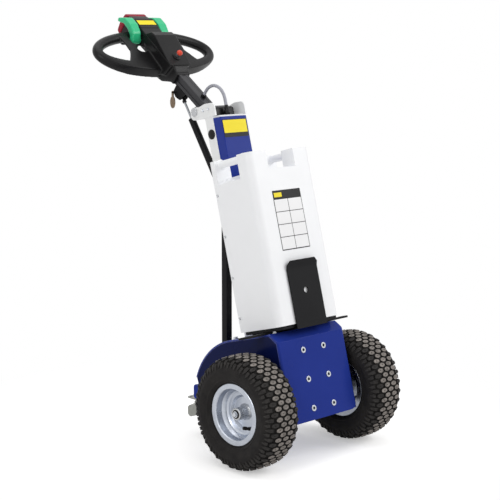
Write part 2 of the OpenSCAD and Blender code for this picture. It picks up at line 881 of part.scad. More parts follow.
// One side of the loop grip, swept along an ellipse from one side of the head to its other end.
module grip(side) {
    n = 24;
    sides = 12;
    end = acos(head_half / grip_a);
    points = [
        for (i = [0:n], k = [0:sides - 1])
            let (
                t = -end + 2 * end * i / n,
                out = i == 0 ? [0, -1] : i == n ? [0, 1] : unit([grip_b * cos(t), grip_a * sin(t)]),
                a = 360 * k / sides,
                s = grip_d / 2 * cos(a),
                tall = grip_d / 2 * (1 + grip_swell * pow(max(0, -sin(t)), 2))
            )
            [side * (grip_a * cos(t) + s * out[0]), side * tall * sin(a), grip_b * sin(t) + s * out[1]]
    ];
    color("#262626") on_grip() polyhedron(points, tube_faces(n, sides));
}

module grip_left() { grip(-1); }
module grip_right() { grip(1); }

// Flat webs that join the head to the front and back of the loop, each with an oval hole and a slot
// beside the head for the throttle.
module head_webs() {
    top = -grip_d / 2 + 2;
    t = 12;
    off = grip_d / 2 + run_gap;
    reach = grip_a - off * grip_b / grip_a;
    from = acos((head_half + 1) / reach);
    front_to = 49;
    rear_to = 56;
    waist_x = head_half + 68;
    slot_x = head_half + 41;
    slot_z = 26;
    slot_to = acos(slot_x / reach);
    hole_x = head_half + 19;
    hole_z = 6;
    hole_a = 20;
    hole_b = 10;
    function inside(a) = [grip_a * cos(a), grip_b * sin(a)] - off * unit([grip_b * cos(a), grip_a * sin(a)]);
    web = concat(
        [[head_half, inside(-from)[1]]],
        [for (k = [0:6]) inside(-from + (from - front_to) * k / 6)],
        [[waist_x, -2]],
        [for (k = [0:3]) inside(rear_to + (slot_to - rear_to) * k / 3)],
        [[slot_x, slot_z], [head_half, slot_z]]
    );
    color("#262626") on_grip() for (side = [-1, 1]) difference() {
        through(top, top + t, [for (p = web) [side * p[0], p[1]]]);
        translate([side * hole_x, top - 1, hole_z]) rotate([-90, 0, 0]) scale([1, hole_b / hole_a, 1])
            cylinder(h = t + 2, r = hole_a);
    }
}

// Thumb throttles: crescents on short pivots beside the head, set from the head's end.
module throttles() {
    pivot_l = head_l - 92;
    pivot_r = -6;
    pivot_d = 14;
    gap = 3;
    width = 33;
    crescent = [
        [-8, 32, 6], [-9, 0, 10], [6, -24, 14], [34, -37, 14], [66, -38, 10], [95, -18, 5], [89, -7, 4],
        [62, -19, 12], [36, -16, 12], [14, -6, 10], [8, 12, 8], [9, 33, 6]
    ];
    outline = rounded([for (p = crescent) [pivot_l + p[0], pivot_r + p[1], p[2]]]);
    color("mediumseagreen") on_tiller() for (side = [-1, 1]) {
        x0 = side > 0 ? head_half + gap : -head_half - gap - width;
        across_tiller(x0, x0 + width, outline);
        translate([side > 0 ? head_half : -head_half - gap, pivot_r, pivot_l]) bar_x(0, gap, pivot_d / 2);
    }
}

module belly_button() {
    half = head_half + 2;
    color("crimson") on_tiller() across_tiller(-half, half, belly_outline);
}

// Round stop knob standing square on the pod's front slope.
module stop_knob() {
    slope = atan2(pod_foot_r - pod_ridge_r, pod_ridge_l - pod_front_l);
    at = 34;
    collar_h = 5;
    neck_h = 6;
    color("red") on_tiller() translate([0, pod_foot_r, pod_front_l]) rotate([90 + slope, 0, 0])
        translate([0, at, 0]) {
            cylinder(h = collar_h, r = 14);
            translate([0, 0, collar_h]) cylinder(h = neck_h, r = 8);
            translate([0, 0, collar_h + neck_h]) cylinder(h = 14, r = 11);
        }
}

// Bracket under the tiller that holds the spring's rod eye, with a peg for the key.
bracket_t = 3;
peg_l = eye_l + 18;
peg_r = eye_r + 5;
peg_d = 5;

module spring_bracket() {
    under = tiller_d / 2;
    cheek_in = eye_half + side_gap;
    pad_l = 56;
    outline = rounded([
        [eye_l - 22, under + bracket_t], [eye_l + 26, under + bracket_t], [eye_l + 26, eye_r + 7, 8],
        [eye_l + 8, eye_r + 15, 10], [eye_l - 16, eye_r + 11, 10]
    ]);
    color("#202020") on_tiller() {
        translate([-tiller_w / 2, under, eye_l - pad_l / 2]) cube([tiller_w, bracket_t, pad_l]);
        for (x = [-cheek_in - cheek_t, cheek_in]) across_tiller(x, x + cheek_t, outline);
        translate([0, peg_r, peg_l]) bar_x(-cheek_in - cheek_t - 12, -cheek_in - cheek_t, peg_d / 2);
    }
}

// Oval key fob that hangs from the bracket's peg.
module key_fob() {
    x0 = -eye_half - side_gap - cheek_t - 10;
    drop = 30;
    t = 3;
    fob = [for (a = [0:15:345]) [11 * cos(a), 19 * sin(a)]];
    hang = lean + tiller_angle;
    color("rosybrown") on_tiller() translate([x0, peg_r, peg_l]) rotate([hang, 0, 0]) difference() {
        union() {
            translate([0, 0, -drop]) across(0, t, fob);
            across(0, t, rectangle(-4, -drop + 12, 4, 5, 3));
        }
        bar_x(-1, t + 1, peg_d / 2 + run_gap);
    }
}

module cable_clip() {
    clip_l = 52;
    reach = 9;
    color("#202020") on_tiller() translate([0, -tiller_d / 2, clip_l]) rotate([90, 0, 0])
        cylinder(h = reach, r = 8);
}

// Gas spring

module gas_cylinder() {
    eye_r_out = 10;
    neck = clevis_h / 2 + 7;
    neck_half = 6;
    bore_low = 85;
    color("#262626") on_spring() difference() {
        union() {
            bar_x(-eye_half, eye_half, eye_r_out);
            translate([-neck_half, -neck_half, 0]) cube([2 * neck_half, 2 * neck_half, neck + 1]);
            translate([0, 0, neck]) cylinder(h = spring_body_l - neck, r = spring_d / 2);
        }
        bar_x(-eye_half - 1, eye_half + 1, spring_pin_d / 2 + run_gap);
        translate([0, 0, bore_low]) cylinder(h = spring_body_l, r = rod_d / 2 + run_gap);
    }
}

module gas_rod() {
    rod_low = 150;
    eye_r_out = 9;
    color("silver") on_spring() {
        translate([0, 0, rod_low]) cylinder(h = spring_l - rod_low, r = rod_d / 2);
        translate([0, 0, spring_l]) bar_x(-eye_half, eye_half, eye_r_out);
    }
}

front_plate();
hitch_inserts();
side_plates();
top_deck();
floor_pan();
castor_beam();
castor_mounts();
cross_bar();
battery_tray();
battery_guard();
battery_box();
battery_posts();
battery_handles();
column();
control_cover();
hinge_block();
pivot_ears();
pivot_pin();
cable_gland();
braces();
spring_clevis();
drive_unit();
cable();
tyre_left();
rim_left();
hub_left();
tyre_right();
rim_right();
hub_right();
castor_fork_left();
castor_wheel_left();
castor_fork_right();
castor_wheel_right();
tiller_shaft();
head_housing();
control_pod();
grip_left();
grip_right();
head_webs();
throttles();
belly_button();
stop_knob();
spring_bracket();
key_fob();
cable_clip();
gas_cylinder();
gas_rod();
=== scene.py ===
"""Walk-behind electric tug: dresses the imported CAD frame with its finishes, mouldings, tyres and trim."""

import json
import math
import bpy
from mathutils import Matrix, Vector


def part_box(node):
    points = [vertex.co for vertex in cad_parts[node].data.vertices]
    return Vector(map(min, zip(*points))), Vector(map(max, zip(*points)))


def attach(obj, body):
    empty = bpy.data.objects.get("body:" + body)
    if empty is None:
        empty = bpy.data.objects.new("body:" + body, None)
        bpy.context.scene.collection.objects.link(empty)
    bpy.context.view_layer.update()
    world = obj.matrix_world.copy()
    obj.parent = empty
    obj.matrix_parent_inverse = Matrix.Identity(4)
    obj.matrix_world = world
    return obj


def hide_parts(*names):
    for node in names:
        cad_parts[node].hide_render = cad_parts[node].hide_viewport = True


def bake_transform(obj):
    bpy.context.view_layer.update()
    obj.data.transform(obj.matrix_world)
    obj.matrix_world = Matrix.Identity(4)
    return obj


bl_info = {
    "name": "Walk-behind electric tug",
    "version": (1, 0, 0),
    "blender": (4, 5, 0),
    "location": "3D View > Sidebar > Tug",
    "description": "Builds the finished look of the tug on its packed CAD frame",
    "category": "Object",
}

import bmesh
import bpy
from mathutils import Matrix, Vector

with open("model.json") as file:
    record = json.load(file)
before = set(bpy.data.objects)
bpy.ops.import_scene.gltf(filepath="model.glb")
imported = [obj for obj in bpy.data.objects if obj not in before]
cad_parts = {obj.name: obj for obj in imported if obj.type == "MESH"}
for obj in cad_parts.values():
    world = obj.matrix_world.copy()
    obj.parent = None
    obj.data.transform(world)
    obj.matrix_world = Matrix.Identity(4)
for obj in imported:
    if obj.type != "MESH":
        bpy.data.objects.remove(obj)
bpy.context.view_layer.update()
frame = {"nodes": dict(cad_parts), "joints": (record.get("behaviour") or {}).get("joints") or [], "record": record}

MM = 0.001
WHITE = (1.0, 1.0, 1.0, 1.0)
SIDES = ((-1, "left"), (1, "right"))
JOINTS = {joint["name"]: joint for joint in frame["joints"]}
MOUNTS = {mount["name"]: mount for mount in frame["record"]["mounts"]}
AXLE = Vector((0.0, *JOINTS["wheel_left_spin"]["pos_m"][1:]))
WHEEL_X = JOINTS["wheel_right_spin"]["pos_m"][0]
PIVOT = Vector(JOINTS["tiller_tilt"]["pos_m"])
HITCH_AXIS = Vector(MOUNTS["hitch_upper"]["axis"])
LEAN = math.atan2(HITCH_AXIS.z, -HITCH_AXIS.y)
TILLER_ANGLE = math.radians(38.9)
GRIP_RISE = math.radians(7.0)

# Frames in millimetres: the leaning chassis and column (x, v back, w up) from the axle, the tiller
# (x, r below, l along) from its pivot, and the loop grip's own plane.
LEANED = Matrix.Translation(AXLE) @ Matrix.Rotation(-LEAN, 4, "X") @ Matrix.Scale(MM, 4)
TILLER = Matrix.Translation(PIVOT) @ Matrix.Rotation(-LEAN - TILLER_ANGLE, 4, "X") @ Matrix.Scale(MM, 4)
GRIP = TILLER @ Matrix.Translation((0.0, 12.0, 309.0)) @ Matrix.Rotation(GRIP_RISE, 4, "X")

# Faces of the CAD in the leaning frame: outer sides of chassis, box and column, the channel in the box's
# back, the box from front to back and from foot to shoulder, and the deck with the bend of its tail.
SIDE_X, BOX_X, COLUMN_X, CHANNEL_X = 139.5, 127.5, 64.5, 68.5
BOX_FRONT, BOX_BACK, BOX_FOOT, BOX_RISE, SHOULDER = -100.0, 73.0, 218.0, 507.0, 672.0
DECK, TAIL_V, TAIL_W, TAIL_RADIUS = 202.0, 107.0, -8.0, 210.0
# Front and back of the hand space over the box's shoulder.
HAND_FRONT, HAND_BACK = -51.0, 45.0
# An edge's round has the edge's own finish where its normal leans this far to a side.
EDGE_LEAN = 0.3
# Axes in another order: Z along X, X along Y, Y along Z.
ROLLED = Matrix(((0, 0, 1, 0), (1, 0, 0, 0), (0, 1, 0, 0), (0, 0, 0, 1)))


def shift(x, y, z):
    """A move by those lengths."""
    return Matrix.Translation((x, y, z))


def wheel_frame(side):
    """Millimetres from the middle of one drive tyre, Z out of the vehicle."""
    at = shift(side * WHEEL_X, AXLE.y, AXLE.z)
    return at @ Matrix.Rotation(side * math.pi / 2, 4, "Y") @ Matrix.Scale(MM, 4)


def facing(origin, right, up):
    """A place on a surface: X to the right, Y up, Z out of it."""
    x, y = Vector(right).normalized(), Vector(up).normalized()
    turn = Matrix((x, y, x.cross(y))).transposed().to_4x4()
    return Matrix.Translation(origin) @ turn


def linear(code):
    """An sRGB hex colour as linear RGBA."""
    parts = [int(code[i : i + 2], 16) / 255 for i in (0, 2, 4)]
    return (*[c / 12.92 if c <= 0.04045 else ((c + 0.055) / 1.055) ** 2.4 for c in parts], 1.0)


class TugFinish(bpy.types.PropertyGroup):
    """Colours that a user would change."""

    chassis_blue: bpy.props.FloatVectorProperty(
        name="Chassis blue", description="Gloss powder coat of chassis and cover",
        size=4, subtype="COLOR", min=0.0, max=1.0, default=linear("24378F"),
    )
    box_white: bpy.props.FloatVectorProperty(
        name="Box white", description="Moulded polyethylene of the battery box",
        size=4, subtype="COLOR", min=0.0, max=1.0, default=linear("F6F7F9"),
    )
    column_white: bpy.props.FloatVectorProperty(
        name="Column white", description="Powder coat of the column and its ears",
        size=4, subtype="COLOR", min=0.0, max=1.0, default=linear("F0F1F1"),
    )
    throttle_green: bpy.props.FloatVectorProperty(
        name="Throttle green", description="Gloss plastic of the thumb throttles",
        size=4, subtype="COLOR", min=0.0, max=1.0, default=linear("35C78B"),
    )
    button_red: bpy.props.FloatVectorProperty(
        name="Button red", description="Gloss plastic of the belly button",
        size=4, subtype="COLOR", min=0.0, max=1.0, default=linear("96112B"),
    )
    label_yellow: bpy.props.FloatVectorProperty(
        name="Label yellow", description="Vinyl of the blank plates",
        size=4, subtype="COLOR", min=0.0, max=1.0, default=linear("F7E22E"),
    )


class TugSizes(bpy.types.PropertyGroup):
    """Sizes of the trim that a user would change."""

    tread_count: bpy.props.IntProperty(
        name="Tread lugs", description="Lugs in one row round a drive tyre", default=34, min=24, max=48,
    )
    tread_depth: bpy.props.FloatProperty(
        name="Tread depth", description="Height of the lugs over the carcass",
        default=0.005, min=0.002, max=0.008, unit="LENGTH",
    )
    sheet_edge: bpy.props.FloatProperty(
        name="Sheet edge", description="Rounding along the edges of painted sheet metal",
        default=0.0012, min=0.0003, max=0.003, unit="LENGTH",
    )
    box_edge: bpy.props.FloatProperty(
        name="Box edge", description="Rounding along the edges of the moulded battery box",
        default=0.0045, min=0.001, max=0.008, unit="LENGTH",
    )
    grip_tube: bpy.props.FloatProperty(
        name="Grip tube", description="Diameter of the loop grip's tube",
        default=0.033, min=0.026, max=0.036, unit="LENGTH",
    )
    cable_width: bpy.props.FloatProperty(
        name="Cable diameter", description="Outside diameter of the tiller's cable",
        default=0.010, min=0.006, max=0.012, unit="LENGTH",
    )


# Materials


def add(tree, kind, settings=None, inputs=None):
    """Adds a shader node, sets its options, and sets or links its inputs."""
    made = tree.nodes.new(kind)
    for key, value in (settings or {}).items():
        setattr(made, key, value)
    for key, value in (inputs or {}).items():
        if isinstance(value, bpy.types.NodeSocket):
            tree.links.new(value, made.inputs[key])
        else:
            made.inputs[key].default_value = value
    return made


def per_mm(size):
    """Scale of a pattern whose features are about that many millimetres across."""
    return 1000.0 / size


def begin(name):
    """An empty node material and the piece's own coordinates."""
    made = bpy.data.materials.new(name)
    made.use_nodes = True
    tree = made.node_tree
    tree.nodes.clear()
    return made, tree, add(tree, "ShaderNodeTexCoord").outputs["Object"]


def end(made, inputs):
    """Ends a material in one shader with those inputs."""
    shader = add(made.node_tree, "ShaderNodeBsdfPrincipled", None, inputs)
    add(made.node_tree, "ShaderNodeOutputMaterial", None, {"Surface": shader.outputs["BSDF"]})
    return made


def clouded(tree, place, size, detail, colours, roughs):
    """Slow clouds, that many millimetres across, which move colour and roughness between two values each."""
    cloud = add(tree, "ShaderNodeTexNoise", None, {"Vector": place, "Scale": per_mm(size), "Detail": detail})
    tone = add(
        tree, "ShaderNodeMix", {"data_type": "RGBA"},
        {"Factor": cloud.outputs["Fac"], "A": colours[0], "B": colours[1]},
    )
    sheen = add(
        tree, "ShaderNodeMapRange", None,
        {
            "Value": cloud.outputs["Fac"], "From Min": 0.3, "From Max": 0.7, "To Min": roughs[0],
            "To Max": roughs[1],
        },
    )
    return {"Base Color": tone.outputs["Result"], "Roughness": sheen.outputs["Result"]}


def grained(tree, place, size, detail, strength, distance):
    """A fine skin, that many millimetres across, as a bump."""
    skin = add(tree, "ShaderNodeTexNoise", None, {"Vector": place, "Scale": per_mm(size), "Detail": detail})
    bump = add(
        tree, "ShaderNodeBump", None,
        {"Height": skin.outputs["Fac"], "Strength": strength, "Distance": distance},
    )
    return bump.outputs["Normal"]


def painted(name, colour, shade, rough, peel, grit_mm, shine):
    """Powder coat on sheet metal: an even film with a faint orange peel, and slow changes of sheen."""
    made, tree, place = begin(name)
    film = clouded(tree, place, 90.0, 3.0, (colour, shade), (rough - 0.04, rough + 0.06))
    # Orange peel is about 1 mm across; it is drawn coarser so that it shows.
    skin = grained(tree, place, grit_mm, 2.0, peel, 0.0006)
    return end(made, film | {"Normal": skin, "IOR": 1.5, "Specular IOR Level": shine})


def moulded(name, colour, shade, rough, grain_mm, depth, shine):
    """Injection-moulded plastic: even colour, a spark-eroded grain and slightly worn sheen."""
    made, tree, place = begin(name)
    skin = clouded(tree, place, 60.0, 4.0, (colour, shade), (rough - 0.05, rough + 0.07))
    # The eroded grain is finer than a pixel; it is drawn as coarse as it needs to catch the light.
    grain = add(
        tree, "ShaderNodeTexVoronoi", {"feature": "SMOOTH_F1"},
        {"Vector": place, "Scale": per_mm(grain_mm), "Smoothness": 0.6},
    )
    bump = add(
        tree, "ShaderNodeBump", None,
        {"Height": grain.outputs["Distance"], "Strength": depth, "Distance": 0.0005},
    )
    return end(made, skin | {"Normal": bump.outputs["Normal"], "IOR": 1.49, "Specular IOR Level": shine})


def metal(name, colour, shade, rough, grain_mm, spread):
    """Bare or plated metal: cloudy sheen and a fine grain in its roughness."""
    made, tree, place = begin(name)
    skin = clouded(tree, place, grain_mm, 5.0, (colour, shade), (rough - spread, rough + spread))
    return end(made, skin | {"Metallic": 1.0})


def rubber(name, colour, dust, amount, rough, patch_mm):
    """Vulcanised rubber: charcoal black with dust lying on it in patches."""
    made, tree, place = begin(name)
    cloud = add(
        tree, "ShaderNodeTexNoise", None,
        {"Vector": place, "Scale": per_mm(patch_mm), "Detail": 6.0, "Roughness": 0.65},
    )
    lying = add(
        tree, "ShaderNodeMapRange", None,
        {
            "Value": cloud.outputs["Fac"], "From Min": 0.35, "From Max": 0.65, "To Min": amount * 0.35,
            "To Max": amount,
        },
    )
    tone = add(
        tree, "ShaderNodeMix", {"data_type": "RGBA"},
        {"Factor": lying.outputs["Result"], "A": colour, "B": dust},
    )
    # Moulded rubber has a skin finer than a pixel; it is drawn at 1.6 mm so that it breaks the light.
    skin = grained(tree, place, 1.6, 3.0, 0.25, 0.0005)
    return end(made, {
        "Base Color": tone.outputs["Result"], "Normal": skin, "Roughness": rough, "IOR": 1.52,
        "Specular IOR Level": 0.1,
    })


# Each row has the function, the material's name, its colour, the colour that clouds or dust turn it to, and
# the function's own numbers. A colour is a hex code, one of the user's colours, or a share of one, and the
# second colour is a hex code or a share of the first.
FINISHES = {
    # Gloss royal blue powder coat: deep colour with soft highlights along the bends.
    "blue": (painted, "gloss_powder_coat_blue", "chassis_blue", 0.82, 0.22, 0.12, 2.6, 0.07),
    # The same coat on a folded edge: thin film, polished by handling, so it draws a bright line.
    "blue_edge": (painted, "polished_powder_coat_edge", "chassis_blue", 1.0, 0.19, 0.05, 2.6, 1.0),
    # The side plates' gloss blue powder coat with painted shade: the chassis blue at a quarter of its light,
    # almost black.
    "navy": (painted, "gloss_powder_coat_navy", ("chassis_blue", 0.24), 0.8, 0.22, 0.12, 2.6, 0.07),
    # Gloss white powder coat: clean, with a slight grey clouding.
    "white_coat": (painted, "gloss_powder_coat_white", "column_white", 0.95, 0.3, 0.1, 2.4, 0.4),
    # Satin black powder coat: fine sandy skin that spreads the highlight.
    "black_coat": (painted, "satin_powder_coat_black", "121214", "19191B", 0.42, 0.22, 1.8, 0.11),
    # Black anodised extrusion: dark, with a clear line of light along every groove.
    "anodised": (painted, "anodised_aluminium_black", "232326", "2B2B2F", 0.3, 0.05, 1.6, 0.35),
    # Dark grey paint on cast iron: rough sand-cast skin under a dull film.
    "iron": (painted, "painted_cast_iron", "2B2C2E", "35363A", 0.55, 0.6, 4.0, 0.25),
    # Moulded white polyethylene: waxy satin skin, faintly bluish white.
    "box": (moulded, "moulded_polyethylene_white", "box_white", 0.96, 0.42, 2.4, 0.1, 0.5),
    # Black grained ABS: charcoal with a soft sheen on every curve.
    "abs": (moulded, "grained_abs_black", "131314", "1B1A1B", 0.32, 1.5, 0.2, 0.2),
    # Gloss green ABS: smooth, bright, with a clear highlight.
    "green": (moulded, "gloss_abs_green", "throttle_green", 0.86, 0.24, 6.0, 0.03, 0.4),
    # Gloss red ABS: deep crimson.
    "red": (moulded, "gloss_abs_red", "button_red", 0.85, 0.25, 6.0, 0.03, 0.25),
    # Gloss signal-red ABS of the round knob, a little orange.
    "knob": (moulded, "gloss_abs_signal_red", "E2492B", "D03A20", 0.25, 6.0, 0.03, 0.4),
    # Extruded grey PVC cable sheath: smooth and faintly clouded.
    "sheath": (moulded, "pvc_cable_sheath_grey", "A9AAB4", "96979F", 0.36, 3.0, 0.1, 0.4),
    # Vinyl film of the blank plates: flat colour, slightly uneven satin surface.
    "yellow": (moulded, "vinyl_yellow", "label_yellow", 0.95, 0.38, 9.0, 0.04, 0.2),
    "black_vinyl": (moulded, "vinyl_black", "1B1B1D", 0.95, 0.38, 9.0, 0.04, 0.2),
    "white_vinyl": (moulded, "vinyl_white", "F4F4F5", 0.95, 0.38, 9.0, 0.04, 0.2),
    # Tyre sidewall: matt black rubber with a breath of dust.
    "sidewall": (rubber, "tyre_rubber_sidewall", "171617", "45423F", 0.26, 0.62, 24.0),
    # Lug tops of a used turf tyre: pale floor dust ground into black rubber.
    "tread": (rubber, "tyre_rubber_dusty_tread", "3A3836", "A39C96", 0.8, 0.78, 11.0),
    # Shoulder lugs and leaf ribs: half worn, with less dust than the crown.
    "shoulder": (rubber, "tyre_rubber_worn_shoulder", "1D1C1D", "5A5754", 0.36, 0.7, 9.0),
    # Grey non-marking castor rubber: dull and even.
    "castor": (rubber, "grey_castor_rubber", "4B4C4E", "77746F", 0.35, 0.6, 12.0),
    # Zinc-plated steel pressing: bluish silver, soft blurred reflections.
    "rim": (metal, "zinc_plated_pressing", "C9CED6", "B2B7C2", 0.3, 30.0, 0.06),
    # Bright zinc on turned inserts and fasteners: small sharp glints.
    "zinc": (metal, "bright_zinc_plate", "D3D6DB", "BFC3CA", 0.24, 8.0, 0.05),
    # Zinc-plated castor pressings, a darker warm grey than the bright zinc.
    "dull_zinc": (metal, "dull_zinc_pressing", "A3A49F", "8B8C87", 0.45, 9.0, 0.08),
    # Turned steel with a fine tool finish: plain silver.
    "steel": (metal, "turned_steel", "C6C7C9", "B2B4B7", 0.28, 14.0, 0.05),
    # Ground hard chrome of the spring's rod: dark mirror.
    "chrome": (metal, "hard_chrome", "A9ACB0", "96999D", 0.12, 5.0, 0.03),
    # Worn bronze key fob: brown, dulled by handling.
    "bronze": (metal, "worn_bronze", "8C7A66", "6E5F52", 0.38, 5.0, 0.08),
}
MADE = {}


def tint(colour, share):
    """A share of a colour's light."""
    return [c * share for c in colour[:3]] + [1.0]


def finish_of(key):
    """The material of that name, made once."""
    if key not in MADE:
        make, name, colour, drift, *numbers = FINISHES[key]
        own = bpy.context.scene.tug_finish
        source, share = colour if isinstance(colour, tuple) else (colour, 1.0)
        base = tint(getattr(own, source) if hasattr(own, source) else linear(source), share)
        second = tint(base, drift) if isinstance(drift, float) else linear(drift)
        MADE[key] = make(name, base, second, *numbers)
    return MADE[key]


# Modelling


def soften(bm, width, segments=2, sharp=28.0):
    """Rounds every edge that turns more than the given degrees."""
    edges = [e for e in bm.edges if e.is_manifold and e.calc_face_angle() > math.radians(sharp)]
    made = bmesh.ops.bevel(
        bm, geom=edges, offset=width, offset_type="OFFSET", affect="EDGES", segments=segments, profile=0.5,
        material=-1, clamp_overlap=True, loop_slide=True,
    )
    return made["faces"]


def join(bm, part, place=None, index=0):
    """Puts one shape into another, at its place and with one material."""
    if place is not None:
        part.transform(place)
    if index is not None:
        for face in part.faces:
            face.material_index = index
    scratch = bpy.data.meshes.new("scratch")
    part.to_mesh(scratch)
    part.free()
    bm.from_mesh(scratch)
    bpy.data.meshes.remove(scratch)


def raise_face(bm, face, depth):
    """Extrudes one flat face along Z into a closed block and returns its top vertices."""
    grown = bmesh.ops.extrude_face_region(bm, geom=[face])
    top = [g for g in grown["geom"] if isinstance(g, bmesh.types.BMVert)]
    bmesh.ops.translate(bm, verts=top, vec=(0.0, 0.0, depth))
    bmesh.ops.recalc_face_normals(bm, faces=bm.faces)
    return top


def round_corners(bm, verts, radius, segments):
    """Rounds corners of a flat outline."""
    bmesh.ops.bevel(
        bm, geom=list(verts), offset=radius, offset_type="OFFSET", affect="VERTICES", segments=segments,
        profile=0.5, material=-1,
    )


def slab(outline, depth, soft=0.0):
    """A flat outline, raised along Z and rounded along its edges."""
    part = bmesh.new()
    face = part.faces.new([part.verts.new((x, y, 0.0)) for x, y in outline])
    raise_face(part, face, depth)
    if soft:
        soften(part, soft)
    return part


def card(width, height, depth, radius=0.0, soft=0.0):
    """A flat plate with rounded corners, its back on the surface."""
    part = bmesh.new()
    bmesh.ops.create_grid(part, x_segments=1, y_segments=1, size=0.5)
    bmesh.ops.scale(part, vec=(width, height, 1.0), verts=part.verts)
    if radius:
        round_corners(part, part.verts, radius, 5)
    raise_face(part, part.faces[:][0], depth)
    if soft:
        soften(part, soft)
    return part


def turned(points, steps=64, closed=False):
    """Spins a profile of (radius, height) about Z."""
    part = bmesh.new()
    verts = [part.verts.new((r, 0.0, z)) for r, z in points]
    ends = verts[1:] + verts[:1] if closed else verts[1:]
    edges = [part.edges.new(pair) for pair in zip(verts, ends)]
    bmesh.ops.spin(
        part, geom=verts + edges, cent=(0, 0, 0), axis=(0, 0, 1), angle=2 * math.pi, steps=steps,
        use_merge=True,
    )
    bmesh.ops.remove_doubles(part, verts=part.verts, dist=0.001)
    bmesh.ops.recalc_face_normals(part, faces=part.faces)
    return part


def post(segments, low, high, height, foot=0.0):
    """An upright prism with those radii at its foot and top, standing at that height on Z."""
    part = bmesh.new()
    bmesh.ops.create_cone(
        part, cap_ends=True, segments=segments, radius1=low, radius2=high, depth=height,
        matrix=shift(0.0, 0.0, foot + height / 2),
    )
    return part


def screw(radius, height):
    """A button-head screw with a socket in its head, standing on Z."""
    part = post(20, radius, radius * 0.82, height)
    soften(part, radius * 0.16, 2, 40.0)
    part.faces.ensure_lookup_table()
    top = max(part.faces, key=lambda f: f.calc_center_median().z)
    bmesh.ops.inset_region(part, faces=[top], thickness=radius * 0.34)
    inner = max((f for f in part.faces if f.normal.z > 0.99), key=lambda f: len(f.verts))
    bmesh.ops.translate(part, verts=inner.verts, vec=(0.0, 0.0, -height * 0.5))
    return part


def hex_bolt(radius, height):
    """A hexagon bolt head with a chamfered top, on a thin washer."""
    part = post(28, radius * 1.3, radius * 1.3, height * 0.3)
    head = post(6, radius, radius, height, height * 0.3)
    soften(head, radius * 0.1, 2)
    join(part, head)
    return part


def both_sides(bm, make, x, places):
    """Puts shapes on the left and right face of something, at each place [v, w]."""
    for side in (-1, 1):
        for v, w in places:
            join(bm, make(), facing((side * x, v, w), (0, side, 0), (0, 0, 1)))


def cad_copy(node):
    """A merged copy of a CAD node, in metres, for rounding."""
    bm = bmesh.new()
    bm.from_mesh(frame["nodes"][node].data)
    bmesh.ops.remove_doubles(bm, verts=bm.verts, dist=1e-5)
    bmesh.ops.dissolve_limit(bm, angle_limit=math.radians(1.5), verts=bm.verts, edges=bm.edges)
    for face in bm.faces:
        face.material_index = 0
    return bm


def piece(name, bm, finishes, body, stands_for=(), smooth=34.0):
    """Makes the shape, already in the row frame's metres, a piece that rides on a CAD body."""
    for face in bm.faces:
        face.smooth = True
    mesh = bpy.data.meshes.new(name)
    bm.to_mesh(mesh)
    bm.free()
    for key in finishes:
        mesh.materials.append(finish_of(key))
    mesh.set_sharp_from_angle(angle=math.radians(smooth))
    made = bpy.data.objects.new(name, mesh)
    bpy.context.scene.collection.objects.link(made)
    even = made.modifiers.new("even_shading", "WEIGHTED_NORMAL")
    even.keep_sharp = True
    if body:
        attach(made, body)
    if stands_for:
        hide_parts(*stands_for)
    return made


def dressed(node, how, finish, width=None, segments=2, edge=None, body="chassis", name=None):
    """A CAD node with its edges rounded, in place of the node; the edges may have a finish of their own."""
    bm = cad_copy(node)
    rounds = soften(bm, width or bpy.context.scene.tug_sizes.sheet_edge, segments)
    bm.normal_update()
    for face in rounds if edge else ():
        face.material_index = 1 if abs(face.normal.x) > EDGE_LEAN else 0
    return piece(name or f"{node}_{how}", bm, [finish, edge] if edge else [finish], body, (node,))


def settled(bm, kind, **settings):
    """Applies one modifier to a shape."""
    mesh = bpy.data.meshes.new("scratch")
    bm.to_mesh(mesh)
    bm.free()
    holder = bpy.data.objects.new("scratch", mesh)
    bpy.context.scene.collection.objects.link(holder)
    step = holder.modifiers.new(kind, kind)
    for key, value in settings.items():
        setattr(step, key, value)
    graph = bpy.context.evaluated_depsgraph_get()
    result = bpy.data.meshes.new_from_object(holder.evaluated_get(graph))
    out = bmesh.new()
    out.from_mesh(result)
    bpy.data.objects.remove(holder)
    bpy.data.meshes.remove(mesh)
    bpy.data.meshes.remove(result)
    return out


def cut(bm, cutter):
    """Takes one closed shape out of another."""
    mesh = bpy.data.meshes.new("cutter")
    cutter.to_mesh(mesh)
    cutter.free()
    tool = bpy.data.objects.new("cutter", mesh)
    bpy.context.scene.collection.objects.link(tool)
    out = settled(bm, "BOOLEAN", operation="DIFFERENCE", solver="EXACT", object=tool)
    bpy.data.objects.remove(tool)
    bpy.data.meshes.remove(mesh)
    bmesh.ops.dissolve_limit(out, angle_limit=math.radians(1.0), verts=out.verts, edges=out.edges)
    return out


def remoulded(bm, voxel, passes):
    """Runs shapes together into one smooth skin."""
    bm = settled(bm, "REMESH", mode="VOXEL", voxel_size=voxel, adaptivity=0.0)
    for _ in range(passes):
        bmesh.ops.smooth_vert(
            bm, verts=bm.verts, factor=0.5, use_axis_x=True, use_axis_y=True, use_axis_z=True
        )
    return bm


def repaint(node, finish):
    """A CAD node whose shape stays gets its finish."""
    slots = frame["nodes"][node].data.materials
    slots.clear()
    slots.append(finish_of(finish))


# Stage


def seen_rays(tree):
    """The light path, and 1 for a ray that the eye follows: straight, off a mirror or through glass."""
    rays = add(tree, "ShaderNodeLightPath")
    seen = add(
        tree, "ShaderNodeMath", {"operation": "MAXIMUM"},
        {0: rays.outputs["Is Camera Ray"], 1: rays.outputs["Is Glossy Ray"]},
    )
    shown = add(
        tree, "ShaderNodeMath", {"operation": "MAXIMUM"},
        {0: seen.outputs["Value"], 1: rays.outputs["Is Transmission Ray"]},
    )
    return rays, shown.outputs["Value"]


